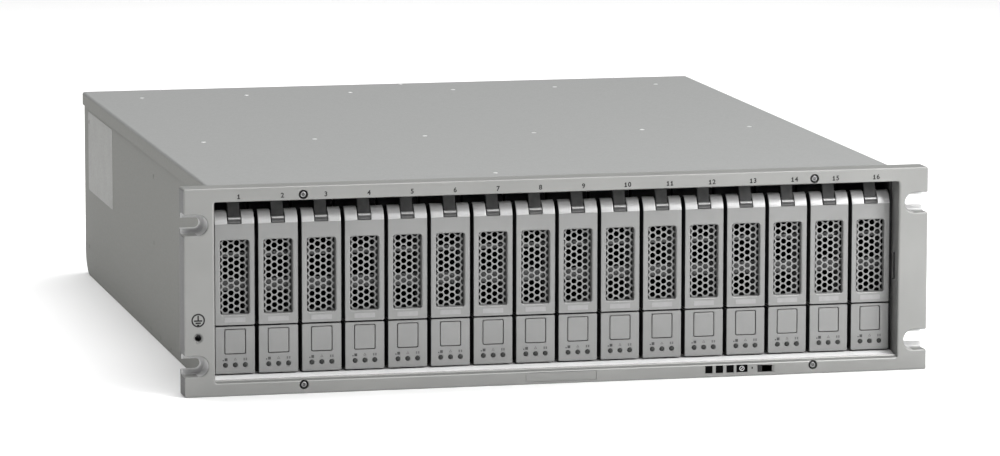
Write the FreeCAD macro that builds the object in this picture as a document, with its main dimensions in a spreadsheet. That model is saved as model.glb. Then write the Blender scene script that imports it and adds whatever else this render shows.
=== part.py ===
import FreeCAD, Part
import os
import re
import Sketcher

# Rack-mounted storage array: front frame, chassis, sixteen disk drives with latch levers,
# and rear power, fan and controller modules. Millimetres, front toward -Y, +Z up.

BAYS = 16
BLADES = 7
SIDES = 8
CELLS = 5

SIZES = [
    ("bay_pitch", 27.6, "spacing of the drive bays"),
    ("face_width", 24.6, "width of a drive front"),
    ("carrier_width", 25.8, "width of the drive tray"),
    ("disk_width", 25.4, "thickness of the disk"),
    ("disk_height", 101.6, "width of the disk, standing on edge"),
    ("disk_length", 147.0, "length of the disk"),
    ("disk_gap", 0.1, "clearance between disk and tray"),
    ("tray_wall", 1.0, "tray wall above and below the disk"),
    ("tray_short", 12.0, "tray rails end before the disk"),
    ("tray_lift", 3.0, "tray bottom above the frame sill"),
    ("headroom", 6.3, "opening above the tray"),
    ("nose_length", 15.5, "front wall of the tray"),
    ("nose_notch", 9.0, "depth of the step over the nose"),
    ("sill_height", 9.2, "lower rail of the front frame"),
    ("lintel_height", 8.7, "upper rail of the front frame"),
    ("ear_width", 19.4, "rack ear beside the opening"),
    ("frame_depth", 17.0, "front frame thickness"),
    ("frame_step", 0.3, "frame opening beyond the pan side"),
    ("seat_depth", 1.0, "chassis seat in the back of the frame"),
    ("seat_gap", 0.3, "clearance beside that seat"),
    ("frame_chamfer", 1.2, "rear edge chamfer of the ears"),
    ("edge_chamfer", 0.7, "front edge chamfer of the frame"),
    ("ledge_run", 5.0, "depth of the sloped sill"),
    ("ledge_drop", 1.3, "drop of the sloped sill"),
    ("slot_pitch", 88.9, "height between the rack slots"),
    ("slot_rise", 19.5, "lower rack slot above the bottom"),
    ("slot_inset", 8.75, "slot end centre from the ear edge"),
    ("slot_radius", 3.5, "rack slot radius"),
    ("slot_recess_radius", 6.4, "recess round a rack slot"),
    ("slot_recess_depth", 12.0, "depth of that recess"),
    ("ground_rise", 37.4, "ground hole above the bottom"),
    ("ground_radius", 2.1, "ground hole radius"),
    ("ground_chamfer", 0.9, "ground hole chamfer"),
    ("screw_edge", 3.5, "frame screws from the opening edge"),
    ("screw_radius", 2.7, "frame screw radius"),
    ("screw_setback", 0.4, "frame screw below the frame front"),
    ("plate_width", 46.0, "bare plate recess width"),
    ("plate_height", 5.9, "bare plate recess height"),
    ("plate_depth", 0.5, "bare plate recess depth"),
    ("window_offset", 96.7, "first status window from the centre"),
    ("window_pitch", 7.0, "spacing of the status windows"),
    ("window_size", 4.8, "status window size"),
    ("window_depth", 1.2, "status window depth"),
    ("wide_window_offset", 118.6, "wide status window from the centre"),
    ("wide_window_width", 7.4, "wide status window width"),
    ("switch_offset", 134.2, "slide switch from the centre"),
    ("switch_length", 13.5, "slide switch recess length"),
    ("switch_height", 4.6, "slide switch recess height"),
    ("switch_depth", 3.0, "slide switch recess depth"),
    ("slider_length", 6.0, "slide switch actuator length"),
    ("slider_gap", 0.4, "clearance round the actuator"),
    ("slider_rib", 2.0, "actuator rib length"),
    ("slider_base", 1.4, "actuator base thickness"),
    ("slider_setback", 0.5, "actuator rib behind the front"),
    ("sheet", 1.2, "sheet metal thickness"),
    ("side_gap", 0.5, "clearance beside the outer trays"),
    ("cover_gap", 0.1, "clearance between cover flange and pan"),
    ("cover_flange", 9.0, "side flange of the top cover"),
    ("cover_bend", 1.8, "outside bend of the top cover"),
    ("top_step", 1.2, "cover below the frame top"),
    ("lip_gap", 0.5, "lip back from the opening edge"),
    ("body_depth", 525.0, "front plane to the chassis rear"),
    ("rear_corner", 18.0, "rear lower corner radius"),
    ("rail_start", 48.0, "guide rail start behind the front"),
    ("rail_length", 140.0, "guide rail length"),
    ("rail_width", 9.0, "guide rail width at the base"),
    ("rail_crown", 6.0, "guide rail width at the top"),
    ("face_setback", 12.5, "drive fronts behind the frame front"),
    ("face_lift", 2.9, "drive fronts above the sill"),
    ("bezel_depth", 20.5, "drive front block depth"),
    ("bezel_height", 29.9, "drive front block height"),
    ("seam_gap", 0.9, "seam below the lever"),
    ("button_width", 12.8, "release button width"),
    ("button_height", 15.4, "release button height"),
    ("button_rise", 12.5, "release button above the face bottom"),
    ("button_depth", 7.0, "release button depth"),
    ("button_gap", 0.4, "clearance round the button"),
    ("button_travel", 2.0, "release button travel"),
    ("button_chamfer", 0.5, "release button edge chamfer"),
    ("lever_plate", 2.0, "lever front wall"),
    ("lever_wall", 1.8, "lever side walls"),
    ("lever_depth", 9.5, "lever side wall depth"),
    ("shoulder_drop", 8.8, "shoulder start below the tray top"),
    ("shoulder_rise", 8.7, "height of the sloped shoulder"),
    ("shoulder_knee", 5.6, "height of its steeper lower part"),
    ("shoulder_lean", 3.6, "set back of its lower part"),
    ("shoulder_run", 10.0, "depth of the shoulder"),
    ("pivot_setback", 14.5, "lever pivot behind the drive front"),
    ("pivot_drop", 9.0, "lever pivot below the tray top"),
    ("pivot_boss", 3.2, "half width of the boss round the pivot"),
    ("pivot_bevel", 1.3, "bevel of the boss corners"),
    ("pivot_slope", 9.0, "lever wall slope below the pivot"),
    ("pin_radius", 1.5, "hinge pin radius"),
    ("pin_fit", 0.16, "hinge pin running clearance"),
    ("pin_inset", 0.6, "pin ends inside the lever sides"),
    ("lug_thickness", 2.2, "tray lug thickness"),
    ("lug_gap", 0.6, "clearance between lug and lever"),
    ("grille_width", 18.1, "grille window width"),
    ("grille_height", 46.7, "grille window height"),
    ("grille_rise", 6.8, "grille window above the lever bottom"),
    ("grille_depth", 0.8, "grille window recess"),
    ("cell_width", 9.2, "honeycomb cell width"),
    ("cell_height", 8.0, "honeycomb cell height"),
    ("cell_web", 0.9, "web between the cells"),
    ("tongue_width", 8.2, "latch tongue width"),
    ("tongue_gap", 0.4, "clearance beside the tongue"),
    ("tongue_strip", 1.4, "latch tongue thickness"),
    ("tongue_foot", 7.0, "tongue foot behind the lever"),
    ("tongue_lip", 3.0, "tongue lip height"),
    ("tongue_lean", 5.0, "tongue top set back from its lip"),
    ("tongue_clearance", 0.5, "tongue below the frame rail"),
    ("plug_length", 8.0, "drive plug behind the disk"),
    ("plug_width", 7.0, "drive plug thickness"),
    ("plug_height", 52.0, "drive plug height"),
    ("plug_gap", 0.5, "gap between plug and socket"),
    ("socket_depth", 9.0, "midplane socket depth"),
    ("board", 2.4, "midplane board thickness"),
    ("vent_width", 18.0, "midplane vent width"),
    ("vent_height", 26.0, "midplane vent height"),
    ("cage_start", 24.0, "module cage behind the midplane"),
    ("module_gap", 0.4, "clearance round a rear module"),
    ("rear_setback", 2.0, "module rear inside the chassis"),
    ("power_width", 106.0, "power module width"),
    ("fan_radius", 41.0, "fan well radius"),
    ("fan_depth", 30.0, "fan well depth"),
    ("fan_drop", 44.0, "fan centre below the module top"),
    ("guard_bar", 2.4, "fan guard bar width"),
    ("guard_depth", 1.6, "fan guard bar depth"),
    ("hub_radius", 15.0, "fan hub radius"),
    ("hub_depth", 20.0, "fan hub depth"),
    ("blade_gap", 1.5, "clearance round the blades"),
    ("blade_sweep", 16.0, "blade chord along the turn"),
    ("blade_thickness", 2.0, "blade thickness"),
    ("fan_setback", 5.0, "fan rotor behind the guard"),
    ("axle_radius", 2.5, "fan axle radius"),
    ("axle_fit", 0.25, "fan axle clearance"),
    ("axle_length", 8.0, "fan axle in its bearing"),
    ("inlet_width", 27.0, "mains inlet width"),
    ("inlet_height", 19.6, "mains inlet height"),
    ("inlet_depth", 20.0, "mains inlet depth"),
    ("inlet_rise", 16.0, "mains inlet above the module bottom"),
    ("inlet_inset", 12.0, "mains inlet from the module side"),
    ("handle_reach", 25.0, "handle reach behind the chassis"),
    ("handle_bar", 6.0, "handle bar thickness"),
    ("handle_height", 11.0, "handle bar height"),
    ("power_handle", 46.0, "power module handle length"),
    ("power_handle_rise", 15.0, "power handle above the module bottom"),
    ("power_handle_inset", 8.0, "power handle from the module side"),
    ("port_width", 14.4, "optical port width"),
    ("port_height", 9.6, "optical port height"),
    ("port_depth", 32.0, "optical port depth"),
    ("port_pitch", 18.0, "optical port spacing"),
    ("port_inset", 20.0, "first optical port from the module side"),
    ("port_rise", 16.0, "port centre above the module bottom"),
    ("jack_width", 12.0, "service jack width"),
    ("jack_height", 10.0, "service jack height"),
    ("jack_depth", 14.0, "service jack depth"),
    ("jack_inset", 104.0, "service jack from the module side"),
    ("control_handle", 70.0, "controller handle length"),
    ("control_handle_inset", 18.0, "controller handle from the module side"),
    ("control_handle_rise", 22.0, "controller handle above the module bottom"),
]

doc = FreeCAD.newDocument("storage_array")
sheet = doc.addObject("Spreadsheet::Sheet", "Sizes")
for row, (alias, number, note) in enumerate(SIZES, 1):
    sheet.set(f"A{row}", note)
    sheet.set(f"B{row}", str(number))
    sheet.setAlias(f"B{row}", alias)
doc.recompute()

ALIASES = {alias for alias, number, note in SIZES}
NORMALS = {"XY_Plane": 1, "YZ_Plane": 1, "XZ_Plane": -1}


def formula(text):
    """Put the sheet's name before each alias in an expression."""
    return re.sub(r"[a-z_]+", lambda word: f"Sizes.{word[0]}" if word[0] in ALIASES else word[0], str(text))


def measure(text):
    return float(sheet.evalExpression(formula(text)))


# Places worked out from the driving sizes.
front_y = "(0 - (body_depth + handle_reach) / 2)"
frame_back = f"({front_y} + frame_depth)"
seat_y = f"({frame_back} - seat_depth)"
rear_y = f"({front_y} + body_depth)"
face_y = f"({front_y} + face_setback)"
nose_y = f"({face_y} + bezel_depth)"
disk_y = f"({nose_y} + nose_length + disk_gap)"
disk_back = f"({disk_y} + disk_length)"
tray_back = f"({disk_back} - tray_short)"
socket_y = f"({disk_back} + plug_length + plug_gap)"
board_y = f"({socket_y} + socket_depth)"
cage_y = f"({board_y} + board + cage_start)"
module_back = f"({rear_y} - rear_setback)"

tray_bottom = "(sill_height + tray_lift)"
disk_bottom = f"({tray_bottom} + tray_wall + disk_gap)"
tray_top = f"({disk_bottom} + disk_height + disk_gap + tray_wall)"
opening_top = f"({tray_top} + headroom)"
frame_top = f"({opening_top} + lintel_height)"
cover_top = f"({frame_top} - top_step)"
cover_under = f"({cover_top} - sheet)"
face_bottom = "(sill_height + face_lift)"
bezel_top = f"({face_bottom} + bezel_height)"
lever_bottom = f"({bezel_top} + seam_gap)"
shoulder_z = f"({tray_top} - shoulder_drop)"
pivot_y = f"({face_y} + pivot_setback)"
pivot_z = f"({tray_top} - pivot_drop)"

tray_side = f"({(BAYS - 1) / 2} * bay_pitch + carrier_width / 2)"
pan_inside = f"({tray_side} + side_gap)"
pan_side = f"({pan_inside} + sheet)"
cover_side = f"({pan_side} + cover_gap + sheet)"
opening_side = f"({pan_side} + frame_step)"
frame_side = f"({opening_side} + ear_width)"

screw_x = "(6 * bay_pitch)"
low_screw_z = "(sill_height - screw_edge)"
high_screw_z = f"({opening_top} + screw_edge)"
sill_middle = "(sill_height / 2)"
slot_x = f"({frame_side} - slot_inset)"

power_outer = f"({pan_inside} - module_gap)"
power_inner = f"({power_outer} - power_width)"
cage_outer = f"({power_inner} - module_gap)"
cage_inner = f"({cage_outer} - sheet)"
control_side = f"({cage_inner} - module_gap)"
module_top = f"({cover_under} - module_gap)"
control_height = f"(({module_top} - 2 * sheet - module_gap) / 2)"
shelf_z = f"(sheet + {control_height} + module_gap)"
fan_x = f"(({power_outer} + {power_inner}) / 2)"
fan_z = f"({module_top} - fan_drop)"


def bind(item, prop, text):
    item.setExpression(prop, formula(text))


def new_body(label):
    body = doc.addObject("PartDesign::Body", label)
    body.Label = label
    return body


def plane_of(body, role):
    return next(item for item in body.Origin.OriginFeatures if item.Role == role)


def new_sketch(body, role, at="0"):
    """Sketch on an origin plane, moved along the third axis to the place given."""
    sketch = body.newObject("Sketcher::SketchObject", "Sketch")
    sketch.AttachmentSupport = [(plane_of(body, role), "")]
    sketch.MapMode = "FlatFace"
    bind(sketch, "AttachmentOffset.Base.z", f"{NORMALS[role]} * ({at})")
    return sketch


def pin(sketch, kind, geometry, vertex, text):
    index = sketch.addConstraint(Sketcher.Constraint(kind, -1, 1, geometry, vertex, measure(text)))
    bind(sketch, f"Constraints[{index}]", text)


def outline(sketch, corners):
    """Closed outline. A corner is (across, up), or (across, up, centre) where an arc starts."""
    places = [FreeCAD.Vector(measure(corner[0]), measure(corner[1])) for corner in corners]
    starts = []
    ends = []
    pieces = []
    for index, corner in enumerate(corners):
        here = places[index]
        there = places[(index + 1) % len(places)]
        if len(corner) == 2:
            pieces.append(sketch.addGeometry(Part.LineSegment(here, there)))
            starts.append(1)
            ends.append(2)
            continue
        centre = FreeCAD.Vector(measure(corner[2][0]), measure(corner[2][1]))
        out = here - centre
        back = there - centre
        forward = out.cross(back).z > 0
        circle = Part.Circle(centre, FreeCAD.Vector(0, 0, 1), out.Length)
        first, last = (here, there) if forward else (there, here)
        arc = Part.ArcOfCircle(circle, circle.parameter(first), circle.parameter(last))
        pieces.append(sketch.addGeometry(arc))
        starts.append(1 if forward else 2)
        ends.append(2 if forward else 1)
    for index, piece in enumerate(pieces):
        following = (index + 1) % len(pieces)
        sketch.addConstraint(
            Sketcher.Constraint("Coincident", piece, ends[index], pieces[following], starts[following]))
    for index, corner in enumerate(corners):
        pin(sketch, "DistanceX", pieces[index], starts[index], corner[0])
        pin(sketch, "DistanceY", pieces[index], starts[index], corner[1])
        if len(corner) == 3:
            span = places[(index + 1) % len(places)] - places[index]
            if abs(span.x) > abs(span.y):
                pin(sketch, "DistanceY", pieces[index], 3, corner[2][1])
            else:
                pin(sketch, "DistanceX", pieces[index], 3, corner[2][0])


def rectangle(sketch, left, bottom, right, top):
    outline(sketch, [(left, bottom), (right, bottom), (right, top), (left, top)])


def circle(sketch, across, up, radius):
    centre = FreeCAD.Vector(measure(across), measure(up))
    geometry = sketch.addGeometry(Part.Circle(centre, FreeCAD.Vector(0, 0, 1), measure(radius)))
    pin(sketch, "DistanceX", geometry, 3, across)
    pin(sketch, "DistanceY", geometry, 3, up)
    index = sketch.addConstraint(Sketcher.Constraint("Radius", geometry, measure(radius)))
    bind(sketch, f"Constraints[{index}]", radius)


def faceted_circle(sketch, across, up, radius, sides=SIDES):
    """Regular polygon round a circle of this radius, for pins and bores that repeat."""
    turn = 360 / sides
    reach = f"({radius}) / cos({turn / 2} deg)"
    corners = []
    for step in range(sides):
        angle = f"{turn * (step + 0.5)} deg"
        corners.append((f"{across} + {reach} * cos({angle})", f"{up} + {reach} * sin({angle})"))
    outline(sketch, corners)


def side_of(sketch):
    role = sketch.AttachmentSupport[0][0].Role
    return NORMALS[role]


def pad(body, sketch, length, along=0):
    """Extrude along the positive axis (1), the negative axis (-1) or both ways (0)."""
    feature = body.newObject("PartDesign::Pad", "Pad")
    feature.Profile = sketch
    bind(feature, "Length", length)
    if along == 0:
        feature.SideType = "Symmetric"
    else:
        feature.Reversed = along * side_of(sketch) < 0
    sketch.Visibility = False
    return feature


def cut(body, sketch, length, along=0):
    """Pocket with the directions of pad, and a test that it removes material."""
    doc.recompute()
    before = body.Shape.Volume
    feature = body.newObject("PartDesign::Pocket", "Pocket")
    feature.Profile = sketch
    bind(feature, "Length", length)
    if along == 0:
        feature.SideType = "Symmetric"
    else:
        feature.Reversed = along * side_of(sketch) > 0
    doc.recompute()
    if not body.Shape.Volume < before - 0.01:
        raise RuntimeError(f"a pocket of {body.Label} cuts nothing")
    return feature


def spread(body, feature, role, length, count):
    """Repeat a feature along an origin axis."""
    pattern = body.newObject("PartDesign::LinearPattern", "LinearPattern")
    pattern.Originals = [feature]
    pattern.Direction = (plane_of(body, role), [""])
    pattern.Occurrences = count
    bind(pattern, "Length", length)
    body.Tip = pattern
    return pattern


def mirror(body, features, role):
    pattern = body.newObject("PartDesign::Mirrored", "Mirrored")
    pattern.Originals = features
    pattern.MirrorPlane = (plane_of(body, role), [""])
    body.Tip = pattern
    return pattern


def dress(body, kind, size, chosen):
    """Chamfer or fillet the edges that the test picks."""
    doc.recompute()
    base = body.Tip
    names = [f"Edge{i}" for i, edge in enumerate(base.Shape.Edges, 1) if chosen(edge)]
    if not names:
        raise RuntimeError(f"no edge of {body.Label} to dress")
    feature = body.newObject(f"PartDesign::{kind}", kind)
    feature.Base = (base, names)
    bind(feature, "Radius" if kind == "Fillet" else "Size", size)
    doc.recompute()
    return feature


def near(value, text):
    return abs(value - measure(text)) < 0.01


def runs_at(edge, x=None, y=None, z=None):
    """True where both ends of an edge lie at each place given."""
    ends = [vertex.Point for vertex in edge.Vertexes]
    wanted = [("x", x), ("y", y), ("z", z)]
    return all(near(getattr(end, axis), text) for end in ends for axis, text in wanted if text is not None)


def group(label, members):
    """A node: one compound of its separate solids."""
    node = doc.addObject("Part::Compound", label)
    node.Label = label
    node.Links = members
    return node


def place(item, x=None, y=None, z=None):
    for axis, text in (("x", x), ("y", y), ("z", z)):
        if text is not None:
            bind(item, f"Placement.Base.{axis}", text)
    return item


def block(name, x, y, z, length, width, height):
    box = doc.addObject("Part::Box", name)
    bind(box, "Length", length)
    bind(box, "Width", width)
    bind(box, "Height", height)
    return place(box, x, y, z)


# Front frame
def make_front_frame():
    body = new_body("front_frame")
    sketch = new_sketch(body, "XZ_Plane", front_y)
    rectangle(sketch, f"0 - {frame_side}", "0", frame_side, frame_top)
    rectangle(sketch, f"0 - {opening_side}", "sill_height", opening_side, opening_top)
    pad(body, sketch, "frame_depth", 1)

    sketch = new_sketch(body, "YZ_Plane")
    outline(sketch, [
        (front_y, "sill_height - ledge_drop"),
        (f"{front_y} + ledge_run", "sill_height"),
        (front_y, "sill_height"),
    ])
    cut(body, sketch, f"2 * {opening_side}")

    sketch = new_sketch(body, "XZ_Plane", frame_back)
    seat_side = f"({cover_side} + seat_gap)"
    rectangle(sketch, f"0 - {seat_side}", "0 - seat_depth", seat_side, f"{frame_top} + seat_depth")
    cut(body, sketch, "seat_depth", -1)

    dress(body, "Chamfer", "frame_chamfer", lambda edge: (
        runs_at(edge, x=frame_side, y=frame_back) or runs_at(edge, x=f"0 - {frame_side}", y=frame_back)))
    dress(body, "Chamfer", "edge_chamfer", lambda edge: (
        runs_at(edge, y=front_y, z=frame_top) or runs_at(edge, y=front_y, z="0")
        or runs_at(edge, x=frame_side, y=front_y) or runs_at(edge, x=f"0 - {frame_side}", y=front_y)))

    for radius, depth in (("slot_recess_radius", "slot_recess_depth"), ("slot_radius", "frame_depth")):
        sketch = new_sketch(body, "XZ_Plane", front_y)
        for side in (-1, 1):
            for slot_z in ("slot_rise", "(slot_rise + slot_pitch)"):
                centre = (f"{side} * {slot_x}", slot_z)
                outline(sketch, [
                    (f"{side} * ({frame_side} + slot_inset)", f"{slot_z} - {radius}"),
                    (f"{side} * {slot_x}", f"{slot_z} - {radius}", centre),
                    (f"{side} * ({slot_x} - {radius})", slot_z, centre),
                    (f"{side} * {slot_x}", f"{slot_z} + {radius}"),
                    (f"{side} * ({frame_side} + slot_inset)", f"{slot_z} + {radius}"),
                ])
        cut(body, sketch, depth, 1)

    sketch = new_sketch(body, "XZ_Plane", front_y)
    for screw_z in (low_screw_z, high_screw_z):
        faceted_circle(sketch, f"0 - {screw_x}", screw_z, "screw_radius")
        faceted_circle(sketch, screw_x, screw_z, "screw_radius")
    cut(body, sketch, "frame_depth", 1)

    sketch = new_sketch(body, "XZ_Plane", front_y)
    circle(sketch, f"0 - {slot_x}", "ground_rise", "ground_radius")
    cut(body, sketch, "frame_depth", 1)
    dress(body, "Chamfer", "ground_chamfer", lambda edge: (
        runs_at(edge, y=front_y, z="ground_rise") and near(edge.BoundBox.XLength, "2 * ground_radius")))

    sketch = new_sketch(body, "XZ_Plane", front_y)
    rectangle(sketch, "0 - plate_width / 2", f"{sill_middle} - plate_height / 2",
              "plate_width / 2", f"{sill_middle} + plate_height / 2")
    cut(body, sketch, "plate_depth", 1)

    sketch = new_sketch(body, "XZ_Plane", front_y)
    for index in range(3):
        middle = f"(window_offset + {index} * window_pitch)"
        rectangle(sketch, f"{middle} - window_size / 2", f"{sill_middle} - window_size / 2",
                  f"{middle} + window_size / 2", f"{sill_middle} + window_size / 2")
    rectangle(sketch, "wide_window_offset - wide_window_width / 2", f"{sill_middle} - window_size / 2",
              "wide_window_offset + wide_window_width / 2", f"{sill_middle} + window_size / 2")
    cut(body, sketch, "window_depth", 1)

    sketch = new_sketch(body, "XZ_Plane", front_y)
    rectangle(sketch, "switch_offset - switch_length / 2", f"{sill_middle} - switch_height / 2",
              "switch_offset + switch_length / 2", f"{sill_middle} + switch_height / 2")
    cut(body, sketch, "switch_depth", 1)
    return body


def make_frame_screws():
    screws = []
    for side in (-1, 1):
        for screw_z in (low_screw_z, high_screw_z):
            screw = new_body("frame_screw")
            sketch = new_sketch(screw, "XZ_Plane", seat_y)
            faceted_circle(sketch, f"{side} * {screw_x}", screw_z, "screw_radius")
            pad(screw, sketch, "frame_depth - seat_depth - screw_setback", -1)
            screws.append(screw)
    return group("frame_screws", screws)


def make_rate_switch():
    body = new_body("rate_switch")
    middle = "(switch_offset - switch_length / 2 + slider_gap + slider_length / 2)"
    low = f"({sill_middle} - switch_height / 2 + slider_gap)"
    high = f"({sill_middle} + switch_height / 2 - slider_gap)"
    floor_y = f"({front_y} + switch_depth)"
    sketch = new_sketch(body, "XZ_Plane", floor_y)
    rectangle(sketch, f"{middle} - slider_length / 2", low, f"{middle} + slider_length / 2", high)
    pad(body, sketch, "slider_base", -1)
    sketch = new_sketch(body, "XZ_Plane", floor_y)
    rectangle(sketch, f"{middle} - slider_rib / 2", low, f"{middle} + slider_rib / 2", high)
    pad(body, sketch, "switch_depth - slider_setback", -1)
    return body


# Chassis
def make_chassis_pan():
    body = new_body("chassis_pan")
    length = f"{rear_y} - {seat_y}"
    wall_top = f"({cover_under} - cover_gap)"
    sketch = new_sketch(body, "XZ_Plane", seat_y)
    outline(sketch, [
        (f"0 - {pan_side}", wall_top),
        (f"0 - {pan_side}", "0"),
        (pan_side, "0"),
        (pan_side, wall_top),
        (pan_inside, wall_top),
        (pan_inside, "sheet"),
        (f"0 - {pan_inside}", "sheet"),
        (f"0 - {pan_inside}", wall_top),
    ])
    pad(body, sketch, length, 1)

    sketch = new_sketch(body, "XZ_Plane", seat_y)
    rectangle(sketch, f"0 - {pan_inside}", "sheet / 2", pan_inside, "sill_height - lip_gap")
    pad(body, sketch, "sheet", 1)

    sketch = new_sketch(body, "XZ_Plane", f"{front_y} + rail_start")
    middle = f"(0 - {BAYS // 2 - 1} * bay_pitch)"
    outline(sketch, [
        (f"{middle} - rail_width / 2", "sheet / 2"),
        (f"{middle} + rail_width / 2", "sheet / 2"),
        (f"{middle} + rail_crown / 2", tray_bottom),
        (f"{middle} - rail_crown / 2", tray_bottom),
    ])
    rail = pad(body, sketch, "rail_length", 1)
    spread(body, rail, "X_Axis", f"{BAYS - 2} * bay_pitch", BAYS - 1)

    sketch = new_sketch(body, "XZ_Plane", cage_y)
    outline(sketch, [
        (f"0 - {cage_outer}", "sheet / 2"),
        (f"0 - {cage_inner}", "sheet / 2"),
        (f"0 - {cage_inner}", shelf_z),
        (cage_inner, shelf_z),
        (cage_inner, "sheet / 2"),
        (cage_outer, "sheet / 2"),
        (cage_outer, wall_top),
        (cage_inner, wall_top),
        (cage_inner, f"{shelf_z} + sheet"),
        (f"0 - {cage_inner}", f"{shelf_z} + sheet"),
        (f"0 - {cage_inner}", wall_top),
        (f"0 - {cage_outer}", wall_top),
    ])
    pad(body, sketch, f"{module_back} - {cage_y}", 1)

    sketch = new_sketch(body, "YZ_Plane")
    outline(sketch, [
        (f"{rear_y}", "0"),
        (f"{rear_y}", "rear_corner", (f"{rear_y} - rear_corner", "rear_corner")),
        (f"{rear_y} - rear_corner", "0"),
    ])
    cut(body, sketch, f"4 * {pan_side}")
    return body


def make_top_cover():
    body = new_body("top_cover")
    flange_z = f"({cover_top} - cover_flange)"
    inside = f"({cover_side} - sheet)"
    sketch = new_sketch(body, "XZ_Plane", seat_y)
    outline(sketch, [
        (f"0 - {cover_side}", flange_z),
        (f"0 - {inside}", flange_z),
        (f"0 - {inside}", cover_under),
        (inside, cover_under),
        (inside, flange_z),
        (cover_side, flange_z),
        (cover_side, cover_top),
        (f"0 - {cover_side}", cover_top),
    ])
    pad(body, sketch, f"{rear_y} - {seat_y}", 1)
    dress(body, "Fillet", "cover_bend", lambda edge: (
        runs_at(edge, x=cover_side, z=cover_top) or runs_at(edge, x=f"0 - {cover_side}", z=cover_top)))

    sketch = new_sketch(body, "XZ_Plane", seat_y)
    rectangle(sketch, f"0 - {pan_inside} + side_gap", f"{opening_top} + lip_gap",
              f"{pan_inside} - side_gap", f"{cover_top} - sheet / 2")
    pad(body, sketch, "sheet", 1)
    return body


def make_midplane_board():
    body = new_body("midplane")
    sketch = new_sketch(body, "XZ_Plane", board_y)
    rectangle(sketch, f"0 - {pan_inside}", "sheet", pan_inside, cover_under)
    pad(body, sketch, "board", 1)
    sketch = new_sketch(body, "XZ_Plane", board_y)
    vent_x = f"(0 - {BAYS / 2 - 1} * bay_pitch)"
    vent_top = f"({tray_top} - tray_wall)"
    rectangle(sketch, f"{vent_x} - vent_width / 2", f"{vent_top} - vent_height",
              f"{vent_x} + vent_width / 2", vent_top)
    vent = cut(body, sketch, "board", 1)
    spread(body, vent, "X_Axis", f"{BAYS - 2} * bay_pitch", BAYS // 2)
    sockets = []
    for bay in range(BAYS):
        sockets.append(block(
            "drive_socket", f"{bay - (BAYS - 1) / 2} * bay_pitch - plug_width / 2", socket_y,
            f"{disk_bottom} + tray_wall", "plug_width", "socket_depth", "plug_height"))
    return group("midplane_board", [body] + sockets)


# Drives, made once at the middle of a bay
def make_tray():
    body = new_body("tray")
    sketch = new_sketch(body, "YZ_Plane")
    step_z = f"({pivot_z} + pivot_boss + lug_gap)"
    disk_top = f"({disk_bottom} + disk_height + disk_gap)"
    outline(sketch, [
        (nose_y, tray_bottom),
        (tray_back, tray_bottom),
        (tray_back, f"{disk_bottom} - disk_gap"),
        (f"{disk_y} - disk_gap", f"{disk_bottom} - disk_gap"),
        (f"{disk_y} - disk_gap", disk_top),
        (tray_back, disk_top),
        (tray_back, tray_top),
        (f"{nose_y} + nose_notch", tray_top),
        (f"{nose_y} + nose_notch", step_z),
        (nose_y, step_z),
    ])
    pad(body, sketch, "carrier_width")

    sketch = new_sketch(body, "XZ_Plane", face_y)
    rectangle(sketch, "0 - face_width / 2", face_bottom, "face_width / 2", bezel_top)
    pad(body, sketch, "bezel_depth + nose_length / 2", 1)

    lug_x = "(face_width / 2 - lever_wall - lug_gap - lug_thickness)"
    sketch = new_sketch(body, "YZ_Plane", lug_x)
    lug_end = f"({pivot_y} - pivot_boss)"
    outline(sketch, [
        (f"{nose_y} + nose_length / 2", f"{pivot_z} - pivot_boss"),
        (f"{nose_y} + nose_length / 2", f"{pivot_z} + pivot_boss"),
        (f"{pivot_y} + pin_radius", f"{pivot_z} + pivot_boss"),
        (f"{pivot_y} + pin_radius", f"{pivot_z} - pin_radius"),
        (f"{pivot_y} - pin_radius", f"{pivot_z} - pin_radius"),
        (f"{pivot_y} - pin_radius", f"{pivot_z} + pivot_boss - pivot_bevel"),
        (lug_end, f"{pivot_z} + pivot_boss - pivot_bevel"),
        (lug_end, f"{pivot_z} - pivot_boss"),
    ])
    lug = pad(body, sketch, "lug_thickness", 1)
    mirror(body, [lug], "YZ_Plane")

    sketch = new_sketch(body, "XZ_Plane", nose_y)
    rectangle(sketch, "0 - grille_width / 2", f"{lever_bottom} + grille_rise",
              "grille_width / 2", f"{lever_bottom} + grille_rise + grille_height")
    cut(body, sketch, "nose_length", 1)

    sketch = new_sketch(body, "XZ_Plane", face_y)
    well_bottom = f"({face_bottom} + button_rise)"
    rectangle(sketch, "0 - button_width / 2 - button_gap", well_bottom,
              "button_width / 2 + button_gap", f"{well_bottom} + button_height + button_gap")
    cut(body, sketch, "button_depth + button_travel + button_gap", 1)
    return body


def make_disk():
    body = new_body("disk")
    sketch = new_sketch(body, "XZ_Plane", disk_y)
    rectangle(sketch, "0 - disk_width / 2", f"{disk_bottom} - disk_gap",
              "disk_width / 2", f"{disk_bottom} + disk_height")
    pad(body, sketch, "disk_length", 1)
    sketch = new_sketch(body, "XZ_Plane", disk_back)
    rectangle(sketch, "0 - plug_width / 2", f"{disk_bottom} + tray_wall",
              "plug_width / 2", f"{disk_bottom} + tray_wall + plug_height")
    pad(body, sketch, "plug_length", 1)
    return body


def make_hinge_pin():
    body = new_body("hinge_pin")
    sketch = new_sketch(body, "YZ_Plane")
    faceted_circle(sketch, pivot_y, pivot_z, "pin_radius")
    pad(body, sketch, "face_width - 2 * pin_inset")
    return body


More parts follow.
